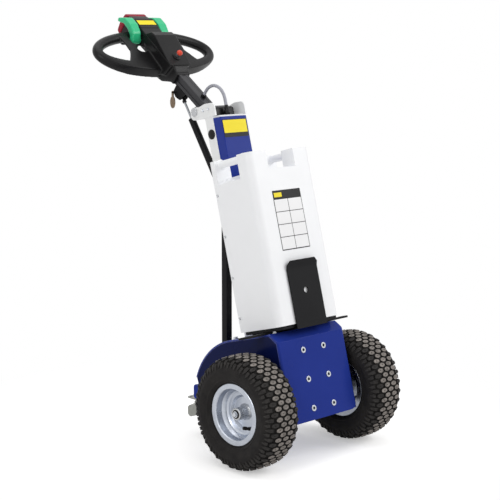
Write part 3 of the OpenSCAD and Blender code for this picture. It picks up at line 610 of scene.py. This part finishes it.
class TUG_OT_stage(bpy.types.Operator):
    """Sets the camera, the pale floor and the soft studio lamps"""

    bl_idname = "tug.stage"
    bl_label = "Stage"

    # Name, place, watts and width of each lamp, and the place that all of them face.
    lamps = (
        ("key_lamp", (2.2, -2.6, 2.7), 59.0, 2.2),
        ("top_lamp", (-0.4, 0.2, 3.4), 26.0, 2.6),
        ("side_lamp", (-3.2, -1.0, 1.8), 25.0, 1.6),
    )
    lit = Vector((0.0, -0.1, 0.5))
    # The camera that was fitted to the photo: degrees, metres, and pixels of a picture that many wide.
    azimuth, elevation, reach = -44.406, 9.217, 3.8046
    focal, picture, film = 1364.42, 500.0, 36.0

    def execute(self, context):
        scene = context.scene
        scene.view_settings.view_transform = "Standard"
        self.camera(scene)
        self.floor(scene)
        self.world(scene)
        for name, at, power, size in self.lamps:
            lamp = bpy.data.lights.new(name, "AREA")
            lamp.energy = power
            lamp.size = size
            holder = bpy.data.objects.new(name, lamp)
            holder.location = at
            holder.rotation_euler = (Vector(at) - self.lit).to_track_quat("Z", "Y").to_euler()
            scene.collection.objects.link(holder)
        return {"FINISHED"}

    def camera(self, scene):
        turn, rise = math.radians(self.azimuth), math.radians(self.elevation)
        target = Vector((-0.2057, AXLE.y, 0.6274))
        back = Vector((math.sin(turn) * math.cos(rise), -math.cos(turn) * math.cos(rise), math.sin(rise)))
        lens = bpy.data.cameras.new("camera")
        lens.sensor_width = self.film
        lens.lens = self.film * self.focal / self.picture
        lens.clip_end = 200.0
        holder = bpy.data.objects.new("camera", lens)
        holder.location = target + back * self.reach
        holder.rotation_euler = back.to_track_quat("Z", "Y").to_euler()
        scene.collection.objects.link(holder)
        scene.camera = holder

    def floor(self, scene):
        bm = bmesh.new()
        bmesh.ops.create_grid(bm, x_segments=8, y_segments=8, size=40.0)
        mesh = bpy.data.meshes.new("floor")
        bm.to_mesh(mesh)
        bm.free()
        made, tree, place = begin("pale_studio_floor")
        rays, shown = seen_rays(tree)
        # The eye sees the lit floor as white, as in a photo exposed for it; the light it throws back is real.
        pale = add(
            tree, "ShaderNodeMix", {"data_type": "RGBA"},
            {"Factor": rays.outputs["Is Camera Ray"], "A": linear("F6F5F4"), "B": (1.62, 1.61, 1.6, 1.0)},
        )
        near = add(tree, "ShaderNodeBsdfDiffuse", None, {"Color": pale.outputs["Result"]})
        far = add(tree, "ShaderNodeEmission", None, {"Color": WHITE, "Strength": 1.0})
        # Shadows show, a little softened, within 0.4 m of the middle and are gone 1 m out.
        away = add(tree, "ShaderNodeVectorMath", {"operation": "LENGTH"}, {0: place})
        fade = add(
            tree, "ShaderNodeMapRange", {"interpolation_type": "SMOOTHSTEP"},
            {"Value": away.outputs["Value"], "From Min": 0.4, "From Max": 1.0, "To Min": 0.4, "To Max": 1.0},
        )
        share = add(tree, "ShaderNodeMath", {"operation": "MULTIPLY"}, {0: shown, 1: fade.outputs["Result"]})
        mixed = add(
            tree, "ShaderNodeMixShader", None,
            {0: share.outputs["Value"], 1: near.outputs["BSDF"], 2: far.outputs["Emission"]},
        )
        add(tree, "ShaderNodeOutputMaterial", None, {"Surface": mixed.outputs["Shader"]})
        mesh.materials.append(made)
        holder = bpy.data.objects.new("floor", mesh)
        scene.collection.objects.link(holder)

    def world(self, scene):
        made = bpy.data.worlds.new("studio")
        made.use_nodes = True
        tree = made.node_tree
        tree.nodes.clear()
        soft = add(tree, "ShaderNodeBackground", None, {"Color": WHITE, "Strength": 0.5})
        white = add(tree, "ShaderNodeBackground", None, {"Color": WHITE, "Strength": 1.0})
        mixed = add(
            tree, "ShaderNodeMixShader", None,
            {0: seen_rays(tree)[1], 1: soft.outputs["Background"], 2: white.outputs["Background"]},
        )
        add(tree, "ShaderNodeOutputWorld", None, {"Surface": mixed.outputs["Shader"]})
        scene.world = made


# Cable

# Places [v, w] in the leaning frame, from the gland on the column to the clip on the tiller.
CABLE_ROUTE = [
    (85, 885), (85, 893), (85, 901), (85, 917), (87, 930), (92, 942), (99, 952), (109, 960), (120, 965),
    (131, 967), (142, 966), (151, 963), (158.5, 959), (164.8, 954.3), (170.9, 949.4),
]


class TUG_OT_cable(bpy.types.Operator):
    """Runs the tiller's cable from its gland to its clip"""

    bl_idname = "tug.cable"
    bl_label = "Cable"

    def execute(self, context):
        width = context.scene.tug_sizes.cable_width
        line = bpy.data.curves.new("cable", "CURVE")
        line.dimensions = "3D"
        line.bevel_depth = width / 2
        line.bevel_resolution = 5
        line.use_fill_caps = True
        path = [LEANED @ Vector((0.0, v, w)) for v, w in CABLE_ROUTE]
        spline = line.splines.new("POLY")
        spline.points.add(len(path) - 1)
        for point, at in zip(spline.points, path):
            point.co = (*at, 1.0)
        holder = bpy.data.objects.new("cable_line", line)
        context.scene.collection.objects.link(holder)
        graph = context.evaluated_depsgraph_get()
        mesh = bpy.data.meshes.new_from_object(holder.evaluated_get(graph))
        bpy.data.objects.remove(holder)
        bm = bmesh.new()
        bm.from_mesh(mesh)
        bpy.data.meshes.remove(mesh)
        bmesh.ops.remove_doubles(bm, verts=bm.verts, dist=1e-6)
        made = piece("tiller_cable", bm, ["sheath"], None, ("cable",), 60.0)
        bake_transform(made)
        return {"FINISHED"}


# Drive wheels


class TUG_OT_tyres(bpy.types.Operator):
    """Moulds both turf tyres with their lugs and shoulder ribs"""

    bl_idname = "tug.tyres"
    bl_label = "Turf tyres"

    # Half of the carcass: radius and distance from the middle plane, bead first.
    carcass = [
        (77, 42), (81, 46.3), (91.5, 46.9), (93, 50), (96, 54.2), (99, 56.4), (100.5, 58.6), (103, 58.8),
        (104.5, 58.6), (109, 60.6), (116, 61.8), (122, 62), (124, 62.5), (127, 62.4), (128.5, 61.6),
        (134, 60.6), (140, 57.8), (146, 53), (151, 47), (155, 39.5), (157.5, 31), (159.3, 18), (160, 0),
    ]
    # Rows of lugs on each side of the middle one, their pitch, and a lug's width, length and corner.
    rows, pitch = 3, 14.2
    lug_width, lug_length, lug_corner = 15.4, 25.8, 2.4
    # How much deeper the lugs of the outer rows reach, down to the shoulder.
    shoulder_depth = 7
    # Tops of the lugs: distance from the middle plane and radius.
    crown = [(0, 164.7), (18, 164.7), (35, 162.8), (47, 158.6), (55, 151), (61, 139)]
    # Leaf ribs over the shoulder, between the last lugs and behind them: radius, distance out, half width.
    long_rib = [(156.5, 46.5, 5), (149.5, 55.4, 5.4), (138, 61, 1.2)]
    short_rib = [(151, 54.6, 4.4), (145.5, 58.9, 4.8), (134, 62.3, 1)]

    def execute(self, context):
        sizes = context.scene.tug_sizes
        count = sizes.tread_count
        for side, word in SIDES:
            section = self.carcass + [(r, -z) for r, z in reversed(self.carcass[:-1])]
            bm = turned(section, 112, True)
            lugs = bmesh.new()
            for row in range(-self.rows, self.rows + 1):
                stagger = 0.5 if row % 2 else 0
                outer = abs(row) == self.rows
                depth = sizes.tread_depth / MM + (self.shoulder_depth if outer else 0)
                place = self.on_crown(row * self.pitch, stagger / count)
                join(lugs, self.lug(depth, 2 if outer else 1), place, None)
            for out in (-1, 1):
                join(lugs, self.rib(out, 0, self.long_rib), None, 2)
                join(lugs, self.rib(out, 0.5 / count, self.short_rib), None, 2)
            bmesh.ops.spin(
                lugs, geom=lugs.verts[:] + lugs.edges[:] + lugs.faces[:], cent=(0, 0, 0), axis=(0, 0, 1),
                angle=2 * math.pi * (count - 1) / count, steps=count - 1, use_duplicate=True,
            )
            join(bm, lugs, None, None)
            bm.transform(wheel_frame(side))
            piece(
                f"turf_tyre_{word}", bm, ["sidewall", "tread", "shoulder"], f"wheel_{word}",
                (f"tyre_{word}",), 30,
            )
        return {"FINISHED"}

    def radius(self, at):
        """Radius over the lugs at a distance from the middle plane."""
        for (a, ra), (b, rb) in zip(self.crown, self.crown[1:]):
            if a <= abs(at) <= b:
                return ra + (rb - ra) * (abs(at) - a) / (b - a)
        return self.crown[-1][1]

    def on_crown(self, at, turn):
        """Place of a lug: Z out of the tread, Y across it."""
        slope = math.atan2(self.radius(at - 4) - self.radius(at + 4), 8)
        lift = Matrix.Rotation(2 * math.pi * turn, 4, "Z") @ shift(self.radius(at), 0, at)
        return lift @ Matrix.Rotation(-slope, 4, "Y") @ ROLLED

    def lug(self, depth, finish):
        """One hexagon lug, its points along the tread, with a dimple in its top; its top at Z 0."""
        part = bmesh.new()
        bmesh.ops.create_circle(part, cap_ends=True, segments=6, radius=0.5)
        bmesh.ops.rotate(part, verts=part.verts, cent=(0, 0, 0), matrix=Matrix.Rotation(math.pi / 2, 3, "Z"))
        bmesh.ops.scale(part, vec=(self.lug_width, self.lug_length, 1), verts=part.verts)
        bmesh.ops.translate(part, verts=part.verts, vec=(0, 0, -depth - 1.5))
        round_corners(part, part.verts, self.lug_corner, 1)
        top = raise_face(part, part.faces[:][0], depth + 0.6)
        bmesh.ops.scale(part, vec=(0.94, 0.96, 1), verts=top)
        cap = max(part.faces, key=lambda f: f.calc_center_median().z)
        bmesh.ops.inset_region(part, faces=[cap], thickness=0.9, depth=0.9)
        bmesh.ops.inset_region(part, faces=[cap], thickness=1, depth=0)
        bmesh.ops.scale(part, vec=(0.3, 0.22, 1), verts=cap.verts)
        bmesh.ops.inset_region(part, faces=[cap], thickness=0.4, depth=-0.9)
        for face in part.faces:
            middle = face.calc_center_median()
            face.material_index = finish if face.normal.z > 0.3 and middle.xy.length > 1.2 else 0
        return part

    def rib(self, out, turn, stations):
        """One leaf-shaped rib from the shoulder down the sidewall."""
        part = bmesh.new()
        bmesh.ops.create_cube(part, size=2)
        along = [e for e in part.edges if abs(e.verts[0].co.x - e.verts[1].co.x) > 1]
        bmesh.ops.subdivide_edges(part, edges=along, cuts=1)
        for vert in part.verts:
            r, z, half = stations[round(vert.co.x) + 1]
            sink = 0.0 if vert.co.z > 0 else 6.0
            vert.co = Vector((r - sink * 0.7, math.copysign(half, vert.co.y), out * (z - sink * 0.7)))
        bmesh.ops.recalc_face_normals(part, faces=part.faces)
        part.transform(Matrix.Rotation(2 * math.pi * turn, 4, "Z"))
        return part


class TUG_OT_rims(bpy.types.Operator):
    """Presses the stepped rims, turns the hubs and fits bolts and valves"""

    bl_idname = "tug.rims"
    bl_label = "Rims and hubs"

    # Degrees round the left and right wheel at which its valve stands.
    valve_turns = {-1: 139, 1: 150}
    # Radius and distance out from the middle plane, round the pressing.
    section = [
        (72.5, 47), (75, 50), (88, 50), (90, 48.5), (90, 47), (80, 47), (76.5, 43.5), (76.5, 20),
        (70, 14), (70, -14), (76.5, -20), (76.5, -43.5), (80, -47), (90, -47), (90, -50),
        (72.5, -50), (72.5, -18), (66, -12), (66, 6), (48, 6), (42, -2), (23, -2),
        (23, 2), (44, 2), (50, 11), (59, 12), (64, 15), (67, 21), (72.5, 27),
    ]

    def execute(self, context):
        for side, word in SIDES:
            bm = turned(self.section, 112, True)
            soften(bm, 1.3, 3, 18)
            bm.transform(wheel_frame(side))
            piece(f"stepped_rim_{word}", bm, ["rim"], f"wheel_{word}", (f"rim_{word}",), 40)
            self.hub(side, word)
            self.valve(side, word)
        return {"FINISHED"}

    def hub(self, side, word):
        shaft_end = 70.0 - WHEEL_X / MM
        bm = turned(
            [(0, shaft_end), (12.5, shaft_end), (12.5, -40), (24, -40), (24, 4), (19.5, 8), (18, 12),
             (18, 38), (16.5, 40), (0, 40)], 64,
        )
        soften(bm, 0.7, 2)
        join(bm, turned([(0, 41.2), (12.5, 41.2), (13, 40.6), (13, 39), (0, 39)], 40), None, 1)
        join(bm, hex_bolt(7, 5), shift(0, 0, 41), 2)
        bm.transform(wheel_frame(side))
        finishes = ["steel", "sidewall", "zinc"]
        piece(f"turned_hub_{word}", bm, finishes, f"wheel_{word}", (f"hub_{word}",))

    def valve(self, side, word):
        bm = turned(
            [(0, -2), (8, -2), (7.4, 2), (5.8, 5), (5.2, 18), (4.2, 20), (4.2, 24), (5.2, 24.6),
             (5.2, 34), (4.4, 35.5), (0, 35.5)], 24,
        )
        turn = Matrix.Rotation(math.radians(self.valve_turns[side]), 4, "Z")
        leaning = shift(0, 60, 13) @ Matrix.Rotation(math.radians(20), 4, "X")
        bm.transform(wheel_frame(side) @ turn @ leaning)
        piece(f"valve_stem_{word}", bm, ["sidewall"], f"wheel_{word}")


# Chassis


class TUG_OT_chassis(bpy.types.Operator):
    """Coats the chassis plates, rounds their edges and fits the hitch inserts and bolts"""

    bl_idname = "tug.chassis"
    bl_label = "Chassis"

    def execute(self, context):
        # The side plates take the chassis blue darkened to a quarter: painted shade.
        for name, finish, width in (
            ("front_plate", "blue", 0.0024), ("side_plates", "navy", None), ("top_deck", "blue", None),
            ("castor_beam", "blue", None),
        ):
            dressed(name, "coated", finish, width, 3, "blue_edge")
        repaint("floor_pan", "blue")
        repaint("drive_unit", "iron")
        dressed("hitch_inserts", "plated", "zinc", 0.0007)
        dressed("cross_bar", "coated", "black_coat", 0.0008)
        dressed("battery_tray", "coated", "black_coat", 0.0012)
        for name in ("braces", "spring_clevis"):
            dressed(name, "coated", "black_coat", 0.001)
        self.bolts()
        return {"FINISHED"}

    def bolts(self):
        bm = bmesh.new()
        for x in (-100, 100):
            for v in (-45, 120):
                w = DECK if v < TAIL_V else TAIL_W + math.sqrt(TAIL_RADIUS**2 - (v - TAIL_V) ** 2)
                join(bm, hex_bolt(7, 5), shift(x, v, w))
        both_sides(bm, lambda: screw(6, 3), SIDE_X, [(-50, 60), (70, 60), (190, 60)])
        bm.transform(LEANED)
        piece("chassis_bolts", bm, ["zinc"], "chassis")


class TUG_OT_castors(bpy.types.Operator):
    """Plates the castor forks and moulds their wheels"""

    bl_idname = "tug.castors"
    bl_label = "Castors"

    def execute(self, context):
        dressed("castor_mounts", "plated", "dull_zinc", 0.0008)
        for word in ("left", "right"):
            dressed(
                f"castor_fork_{word}", "plated", "dull_zinc", 0.0008, body=f"castor_{word}",
                name=f"castor_fork_plated_{word}",
            )
            roll = JOINTS[f"castor_{word}_roll"]
            r = (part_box(f"castor_wheel_{word}")[1].z - roll["pos_m"][2]) / MM
            bm = turned(
                [(6.3, -20.5), (14, -20.5), (14, -10), (28, -8), (r - 13, -12), (r - 13, -16),
                 (r - 5, -16), (r - 1.5, -12), (r, -6), (r, 6), (r - 1.5, 12), (r - 5, 16),
                 (r - 13, 16), (r - 13, 12), (28, 8), (14, 10), (14, 20.5), (6.3, 20.5)], 72, True,
            )
            soften(bm, 0.8, 2)
            for face in bm.faces:
                face.material_index = 0 if face.calc_center_median().xy.length > r - 12.5 else 1
            turn = Vector((0, 0, 1)).rotation_difference(Vector(roll["axis"])).to_matrix().to_4x4()
            bm.transform(Matrix.Translation(roll["pos_m"]) @ turn @ Matrix.Scale(MM, 4))
            piece(
                f"castor_tyre_{word}", bm, ["castor", "abs"], f"castor_wheel_{word}",
                (f"castor_wheel_{word}",),
            )
        return {"FINISHED"}


# Battery


class TUG_OT_battery(bpy.types.Operator):
    """Moulds the battery box with its handles, and adds guard, screws and the blank sticker"""

    bl_idname = "tug.battery"
    bl_label = "Battery box"

    def execute(self, context):
        self.shell(context.scene.tug_sizes.box_edge / MM)
        dressed("battery_guard", "coated", "black_coat", 0.0009)
        self.screws()
        self.sticker()
        return {"FINISHED"}

    def shell(self, edge):
        bm = bmesh.new()
        # Each corner's place and radius, from the front left round to the channel and back.
        corners = [
            (-BOX_X, BOX_FRONT, 22), (BOX_X, BOX_FRONT, 22), (BOX_X, BOX_BACK, 16), (CHANNEL_X, BOX_BACK, 4),
            (CHANNEL_X, 60, 4), (-CHANNEL_X, 60, 4), (-CHANNEL_X, BOX_BACK, 4), (-BOX_X, BOX_BACK, 16),
        ]
        verts = [bm.verts.new((x, v, BOX_FOOT)) for x, v, _ in corners]
        bm.faces.new(verts)
        for vert, (_, _, r) in zip(verts, corners):
            round_corners(bm, [vert], r, 6)
        raise_face(bm, bm.faces[:][0], BOX_RISE)
        # Open above the shoulder: the front notch, the hand space from side to side, and the rear channel.
        half = [
            (55, -140), (55, HAND_FRONT), (140, HAND_FRONT), (140, HAND_BACK), (CHANNEL_X, HAND_BACK),
            (CHANNEL_X, 90),
        ]
        space = slab(half + [(-x, v) for x, v in reversed(half)], 130)
        space.transform(shift(0, 0, SHOULDER))
        bm = cut(bm, space)
        for side in (-1, 1):
            dip = ((75, SHOULDER + 1), (75, SHOULDER), (BOX_X, 655), (140, 651), (140, SHOULDER + 1))
            scoop = slab([(side * x, w) for x, w in dip], HAND_BACK - HAND_FRONT)
            scoop.transform(shift(0, HAND_BACK, 0) @ Matrix.Rotation(math.pi / 2, 4, "X"))
            bmesh.ops.recalc_face_normals(scoop, faces=scoop.faces)
            bm = cut(bm, scoop)
        soften(bm, edge, 3)
        for side in (-1, 1):
            bar = turned(
                [(0, -54), (16, -54), (16, -51), (13, -48.5), (11.5, -45), (11, -40), (11, 34),
                 (11.5, 39), (13, 42.5), (16, 45), (16, 48), (0, 48)], 40,
            )
            lying = shift(side * 101, 0, 713) @ Matrix.Rotation(-math.pi / 2, 4, "X")
            join(bm, bar, lying)
        bm.transform(LEANED)
        piece(
            "battery_shell", bm, ["box"], "chassis",
            ("battery_box", "battery_posts", "battery_handles"), 32,
        )

    def screws(self):
        bm = bmesh.new()
        # Their heads are let into the skin by 0.1 mm.
        both_sides(bm, lambda: screw(4.6, 2.6), BOX_X - 0.1, [(56, w) for w in (624, 502, 380, 260)])
        bm.transform(LEANED)
        piece("battery_screws", bm, ["steel"], "chassis")

    def sticker(self):
        bm = bmesh.new()
        front = facing((-2.6, BOX_FRONT, 518), (1, 0, 0), (0, 0, 1))
        join(bm, card(115, 175, 0.4, 2), front, 1)
        join(bm, card(31, 13, 0.6, 1), front @ shift(-37, 74.5, 0), 2)
        for column in (-1, 1):
            for row in range(4):
                at = shift(column * 28.2, 43.5 - row * 36.9, 0)
                join(bm, card(54.4, 34.9, 0.6, 0.5), front @ at, 0)
        bm.transform(LEANED)
        piece("blank_sticker", bm, ["white_vinyl", "black_vinyl", "yellow"], "chassis")


# Column


class TUG_OT_column(bpy.types.Operator):
    """Coats the column and its cover, and fits ears, caps, gland and the blank plate"""

    bl_idname = "tug.column"
    bl_label = "Column"

    def execute(self, context):
        dressed("column", "coated", "white_coat", 0.0018, 3)
        dressed("control_cover", "coated", "blue", 0.0014, 3)
        dressed("pivot_ears", "coated", "white_coat", 0.0012)
        dressed("hinge_block", "moulded", "abs", 0.002)
        dressed("pivot_pin", "turned", "steel", 0.001)
        self.gland()
        self.caps()
        self.plate()
        return {"FINISHED"}

    def gland(self):
        bm = post(6, 11, 11, 8)
        soften(bm, 0.8)
        dome = turned(
            [(0, 7), (10, 7), (9.6, 12), (8.4, 15.5), (7.2, 17), (7.2, 20), (6.4, 26), (5.4, 32),
             (4.6, 32)], 32,
        )
        join(bm, dome)
        bm.transform(LEANED @ shift(0, 85, 865))
        piece("cable_gland_moulded", bm, ["abs"], "chassis", ("cable_gland",))

    def caps(self):
        bm = bmesh.new()
        dome = [(0, 3.6), (9, 3.4), (13.4, 2.2), (15, 0.6), (15, -1), (0, -1)]
        both_sides(bm, lambda: turned(dome, 40), COLUMN_X, [(101.8, 813.4)])
        bm.transform(LEANED)
        piece("column_caps", bm, ["abs"], "chassis")
        bm = bmesh.new()
        both_sides(bm, lambda: screw(4.5, 2.4), COLUMN_X, [(120, 890), (97, 890)])
        bm.transform(LEANED)
        piece("ear_screws", bm, ["zinc"], "chassis")

    def plate(self):
        bm = bmesh.new()
        front = facing((-1, 62, 822.5), (1, 0, 0), (0, 0, 1))
        join(bm, card(99, 54, 0.5, 2), front, 1)
        join(bm, card(95, 39, 0.7, 1.5), front @ shift(0, 5.5, 0), 0)
        bm.transform(LEANED)
        piece("blank_cover_plate", bm, ["yellow", "black_vinyl"], "chassis")


# Tiller


class TUG_OT_tiller(bpy.types.Operator):
    """Builds the grooved tiller shaft and finishes its bracket, cable clip and key fob"""

    bl_idname = "tug.tiller"
    bl_label = "Tiller shaft"

    def execute(self, context):
        self.shaft()
        dressed("spring_bracket", "coated", "black_coat", 0.0008, body="tiller")
        dressed("cable_clip", "moulded", "abs", 0.0012, body="tiller")
        dressed("key_fob", "struck", "bronze", 0.0006, body="tiller")
        return {"FINISHED"}

    def shaft(self):
        # Half of the extrusion's section on one side: grooves in the side faces and a shallow one on top.
        side = [
            (6, -14.6), (7, -16), (17, -16), (18.5, -14.5), (18.5, -5), (15.5, -4), (15.5, 4), (18.5, 5),
            (18.5, 14.5), (17, 16), (7, 16), (6, 14.6),
        ]
        outline = side + [(-x, y) for x, y in reversed(side)]
        bm = slab(outline, 163, 0.5)
        knuckle = turned([(8.4, -58), (16, -58), (17, -57), (17, 57), (16, 58), (8.4, 58)], 48, True)
        join(bm, knuckle, Matrix.Rotation(math.pi / 2, 4, "Y"))
        bm.transform(TILLER)
        piece("tiller_shaft_grooved", bm, ["anodised"], "tiller", ("tiller_shaft",))


class TUG_OT_head(bpy.types.Operator):
    """Moulds the tiller head: loop grip, webs, pod, throttles, buttons and the blank label"""

    bl_idname = "tug.head"
    bl_label = "Tiller head"

    # Half width and half depth of the loop's centre line, and the radius of the ring that is drawn out to it.
    ellipse = (225, 77)
    ring = 160.0
    # Half widths of the body and of its socket.
    body_half, socket_half = 39, 28.0

    def execute(self, context):
        self.moulding(context.scene.tug_sizes.grip_tube / MM)
        dressed("control_pod", "moulded", "abs", 0.003, 3, body="tiller")
        self.throttles()
        dressed("belly_button", "moulded", "red", 0.005, 4, body="tiller")
        self.knob()
        self.label()
        return {"FINISHED"}

    def moulding(self, tube):
        bm = bmesh.new()
        join(bm, self.loop(tube / 2), GRIP)
        join(bm, self.webs(), GRIP)
        join(bm, self.housing(), TILLER)
        piece(
            "tiller_head_moulding", remoulded(bm, 0.0019, 9), ["abs"], "tiller",
            ("grip_left", "grip_right", "head_webs", "head_housing"), 80,
        )

    def throttles(self):
        """The thumb paddles, moulded soft all round."""
        bm = remoulded(cad_copy("throttles"), 0.0014, 14)
        piece("throttles_moulded", bm, ["green"], "tiller", ("throttles",), 80)

    def loop(self, r):
        """The oval loop: a ring spun round, then drawn out to its ellipse and squared up at the front."""
        part = bmesh.new()
        bmesh.ops.create_circle(part, cap_ends=False, segments=32, radius=r)
        bmesh.ops.translate(part, verts=part.verts, vec=(self.ring, 0, 0))
        bmesh.ops.spin(
            part, geom=part.verts[:] + part.edges[:], cent=(0, 0, 0), axis=(0, 1, 0), angle=2 * math.pi,
            steps=144, use_merge=True,
        )
        bmesh.ops.remove_doubles(part, verts=part.verts, dist=0.001)
        wide, deep = self.ellipse
        for vert in part.verts:
            t = math.atan2(vert.co.z, vert.co.x)
            out, down = math.hypot(vert.co.x, vert.co.z) - self.ring, vert.co.y
            way = Vector((deep * math.cos(t), wide * math.sin(t))).normalized()
            ahead = max(0, min(1, (-math.sin(t) - 0.1) / 0.7)) ** 1.5
            square = (r / max(abs(out), abs(down))) ** (0.95 * ahead)
            out, down = out * square * (1.0 - 0.12 * ahead), down * square * (1.0 + 0.12 * ahead)
            vert.co = Vector((wide * math.cos(t) + out * way.x, down, deep * math.sin(t) + out * way.y))
        bmesh.ops.recalc_face_normals(part, faces=part.faces)
        return part

    def webs(self):
        """Flat webs between loop and housing, each with an oval hole and room for the throttle."""
        both = bmesh.new()
        # The webs' outer edge lies 8 mm inside the loop's centre line, buried in its tube.
        wide, deep = self.ellipse[0] - 8, self.ellipse[1] - 8.0
        front, back = (
            [(wide * math.cos(math.radians(a)), deep * math.sin(math.radians(a))) for a in angles]
            for angles in (range(-84, -44, 5), (57, 62, 67))
        )
        slot = [(120, -18), (112, -2), (113, 20), (117, 46)]
        inner = [(80, 28), (74, 26), (30, 26)]
        for side in (-1, 1):
            plate = slab([(side * x, y) for x, y in front + slot + back + inner], 6.5)
            hole = post(32, 10, 10, 60, -30)
            bmesh.ops.scale(hole, vec=(1.9, 1.4, 1), verts=hole.verts)
            bmesh.ops.translate(hole, verts=hole.verts, vec=(side * 58, 5, 4))
            join(both, cut(plate, hole), shift(0, -11.5, 0) @ Matrix.Rotation(math.pi / 2, 4, "X"))
        bmesh.ops.recalc_face_normals(both, faces=both.faces)
        return both

    def housing(self):
        """The body of the head and the socket round the shaft's end, in side view along the tiller."""
        body = [(188, -31), (342, -38), (402, -40), (446, -32), (446, 56), (428, 64), (252, 48), (200, 14)]
        socket = [(161, 20), (161, -18), (170, -20), (188, -31), (252, 0), (252, 53), (210, 46), (174, 21)]
        both = bmesh.new()
        for outline, half in ((body, self.body_half), (socket, self.socket_half)):
            part = slab([(below, along) for along, below in outline], 2 * half)
            part.transform(shift(-half, 0, 0) @ ROLLED)
            join(both, self.keel(part) if outline is body else part)
        bmesh.ops.recalc_face_normals(both, faces=both.faces)
        return both

    def keel(self, part):
        """Slopes the body's underside up to both sides, so that the holes in the webs stay open."""
        half = self.body_half
        below = slab([(-70, 9), (-half, 9), (0, 36), (half, 9), (70, 9), (70, 100), (-70, 100)], 150)
        below.transform(shift(0, 0, 268))
        return cut(part, below)

    def knob(self):
        ball = [
            (0, 27), (4.2, 26.2), (7.4, 23.8), (9.2, 20.4), (9.4, 17.6), (8, 14.8), (5.6, 13.4), (0, 13.4),
        ]
        collar = [(4, 14.4), (6.2, 14.4), (7.4, 13.6), (7.4, 5.6), (6.4, 4.6), (4, 4.6)]
        bm = turned(ball, 40)
        join(bm, turned(collar, 40, True), None, 1)
        join(bm, turned([(0, 5), (9.5, 5), (12.4, 4.2), (13.8, 2.4), (14, -1), (0, -1)], 40), None, 2)
        # Square to the slope of the housing's nose.
        slope = math.atan2(32, 114)
        rise = Matrix.Rotation(math.pi / 2 + slope, 4, "X") @ shift(0, 34, 0)
        bm.transform(TILLER @ shift(0, -32, 188) @ rise)
        piece("stop_knob_moulded", bm, ["knob", "zinc", "abs"], "tiller", ("stop_knob",))

    def label(self):
        top = facing((0, -39.4, 396), (1, 0, 0), (0, -0.05, 1))
        bm = card(74, 46, 1.4, 4, 0.5)
        bm.transform(TILLER @ top)
        piece("head_top_panel", bm, ["abs"], "tiller")
        bm = bmesh.new()
        join(bm, card(73, 24, 0.4, 1), top @ shift(0, 2, 1.4), 1)
        join(bm, card(70, 21, 0.6, 0.8), top @ shift(0, 2, 1.4), 0)
        bm.transform(TILLER)
        piece("blank_head_label", bm, ["yellow", "black_vinyl"], "tiller")


class TUG_OT_spring(bpy.types.Operator):
    """Finishes the gas spring's cylinder and rod"""

    bl_idname = "tug.spring"
    bl_label = "Gas spring"

    def execute(self, context):
        dressed("gas_cylinder", "coated", "black_coat", 0.001, body="gas_cylinder")
        dressed("gas_rod", "ground", "chrome", 0.0006, body="gas_rod")
        self.collar()
        return {"FINISHED"}

    def collar(self):
        """A black clip round the rod, a little below its eye."""
        eye, foot = TILLER @ Vector((0, 40, 134)), LEANED @ Vector((0, 144, 566))
        bm = turned([(3.6, -4), (6, -4), (6.6, -3), (6.6, 3), (6, 4), (3.6, 4)], 28, True)
        turn = Vector((0, 0, 1)).rotation_difference(foot - eye).to_matrix().to_4x4()
        at = Matrix.Translation(eye + (foot - eye).normalized() * 0.025)
        bm.transform(at @ turn @ Matrix.Scale(MM, 4))
        piece("rod_clip", bm, ["abs"], "gas_rod")


STEPS = (
    TUG_OT_stage, TUG_OT_cable, TUG_OT_tyres, TUG_OT_rims, TUG_OT_chassis, TUG_OT_castors, TUG_OT_battery,
    TUG_OT_column, TUG_OT_tiller, TUG_OT_head, TUG_OT_spring,
)


class TUG_PT_panel(bpy.types.Panel):
    """Lists the build steps, the colours and the sizes"""

    bl_idname = "TUG_PT_panel"
    bl_label = "Electric tug"
    bl_space_type = "VIEW_3D"
    bl_region_type = "UI"
    bl_category = "Tug"

    def draw(self, context):
        for step in STEPS:
            self.layout.operator(step.bl_idname)
        for group in (context.scene.tug_finish, context.scene.tug_sizes):
            for name in group.__annotations__:
                self.layout.prop(group, name)


CLASSES = (TugFinish, TugSizes, *STEPS, TUG_PT_panel)


def register():
    for made in CLASSES:
        bpy.utils.register_class(made)
    bpy.types.Scene.tug_finish = bpy.props.PointerProperty(type=TugFinish)
    bpy.types.Scene.tug_sizes = bpy.props.PointerProperty(type=TugSizes)


def unregister():
    del bpy.types.Scene.tug_sizes
    del bpy.types.Scene.tug_finish
    for made in reversed(CLASSES):
        bpy.utils.unregister_class(made)


def main():
    register()
    for step in STEPS:
        group, name = step.bl_idname.split(".")
        getattr(getattr(bpy.ops, group), name)()


if __name__ == "__main__":
    main()
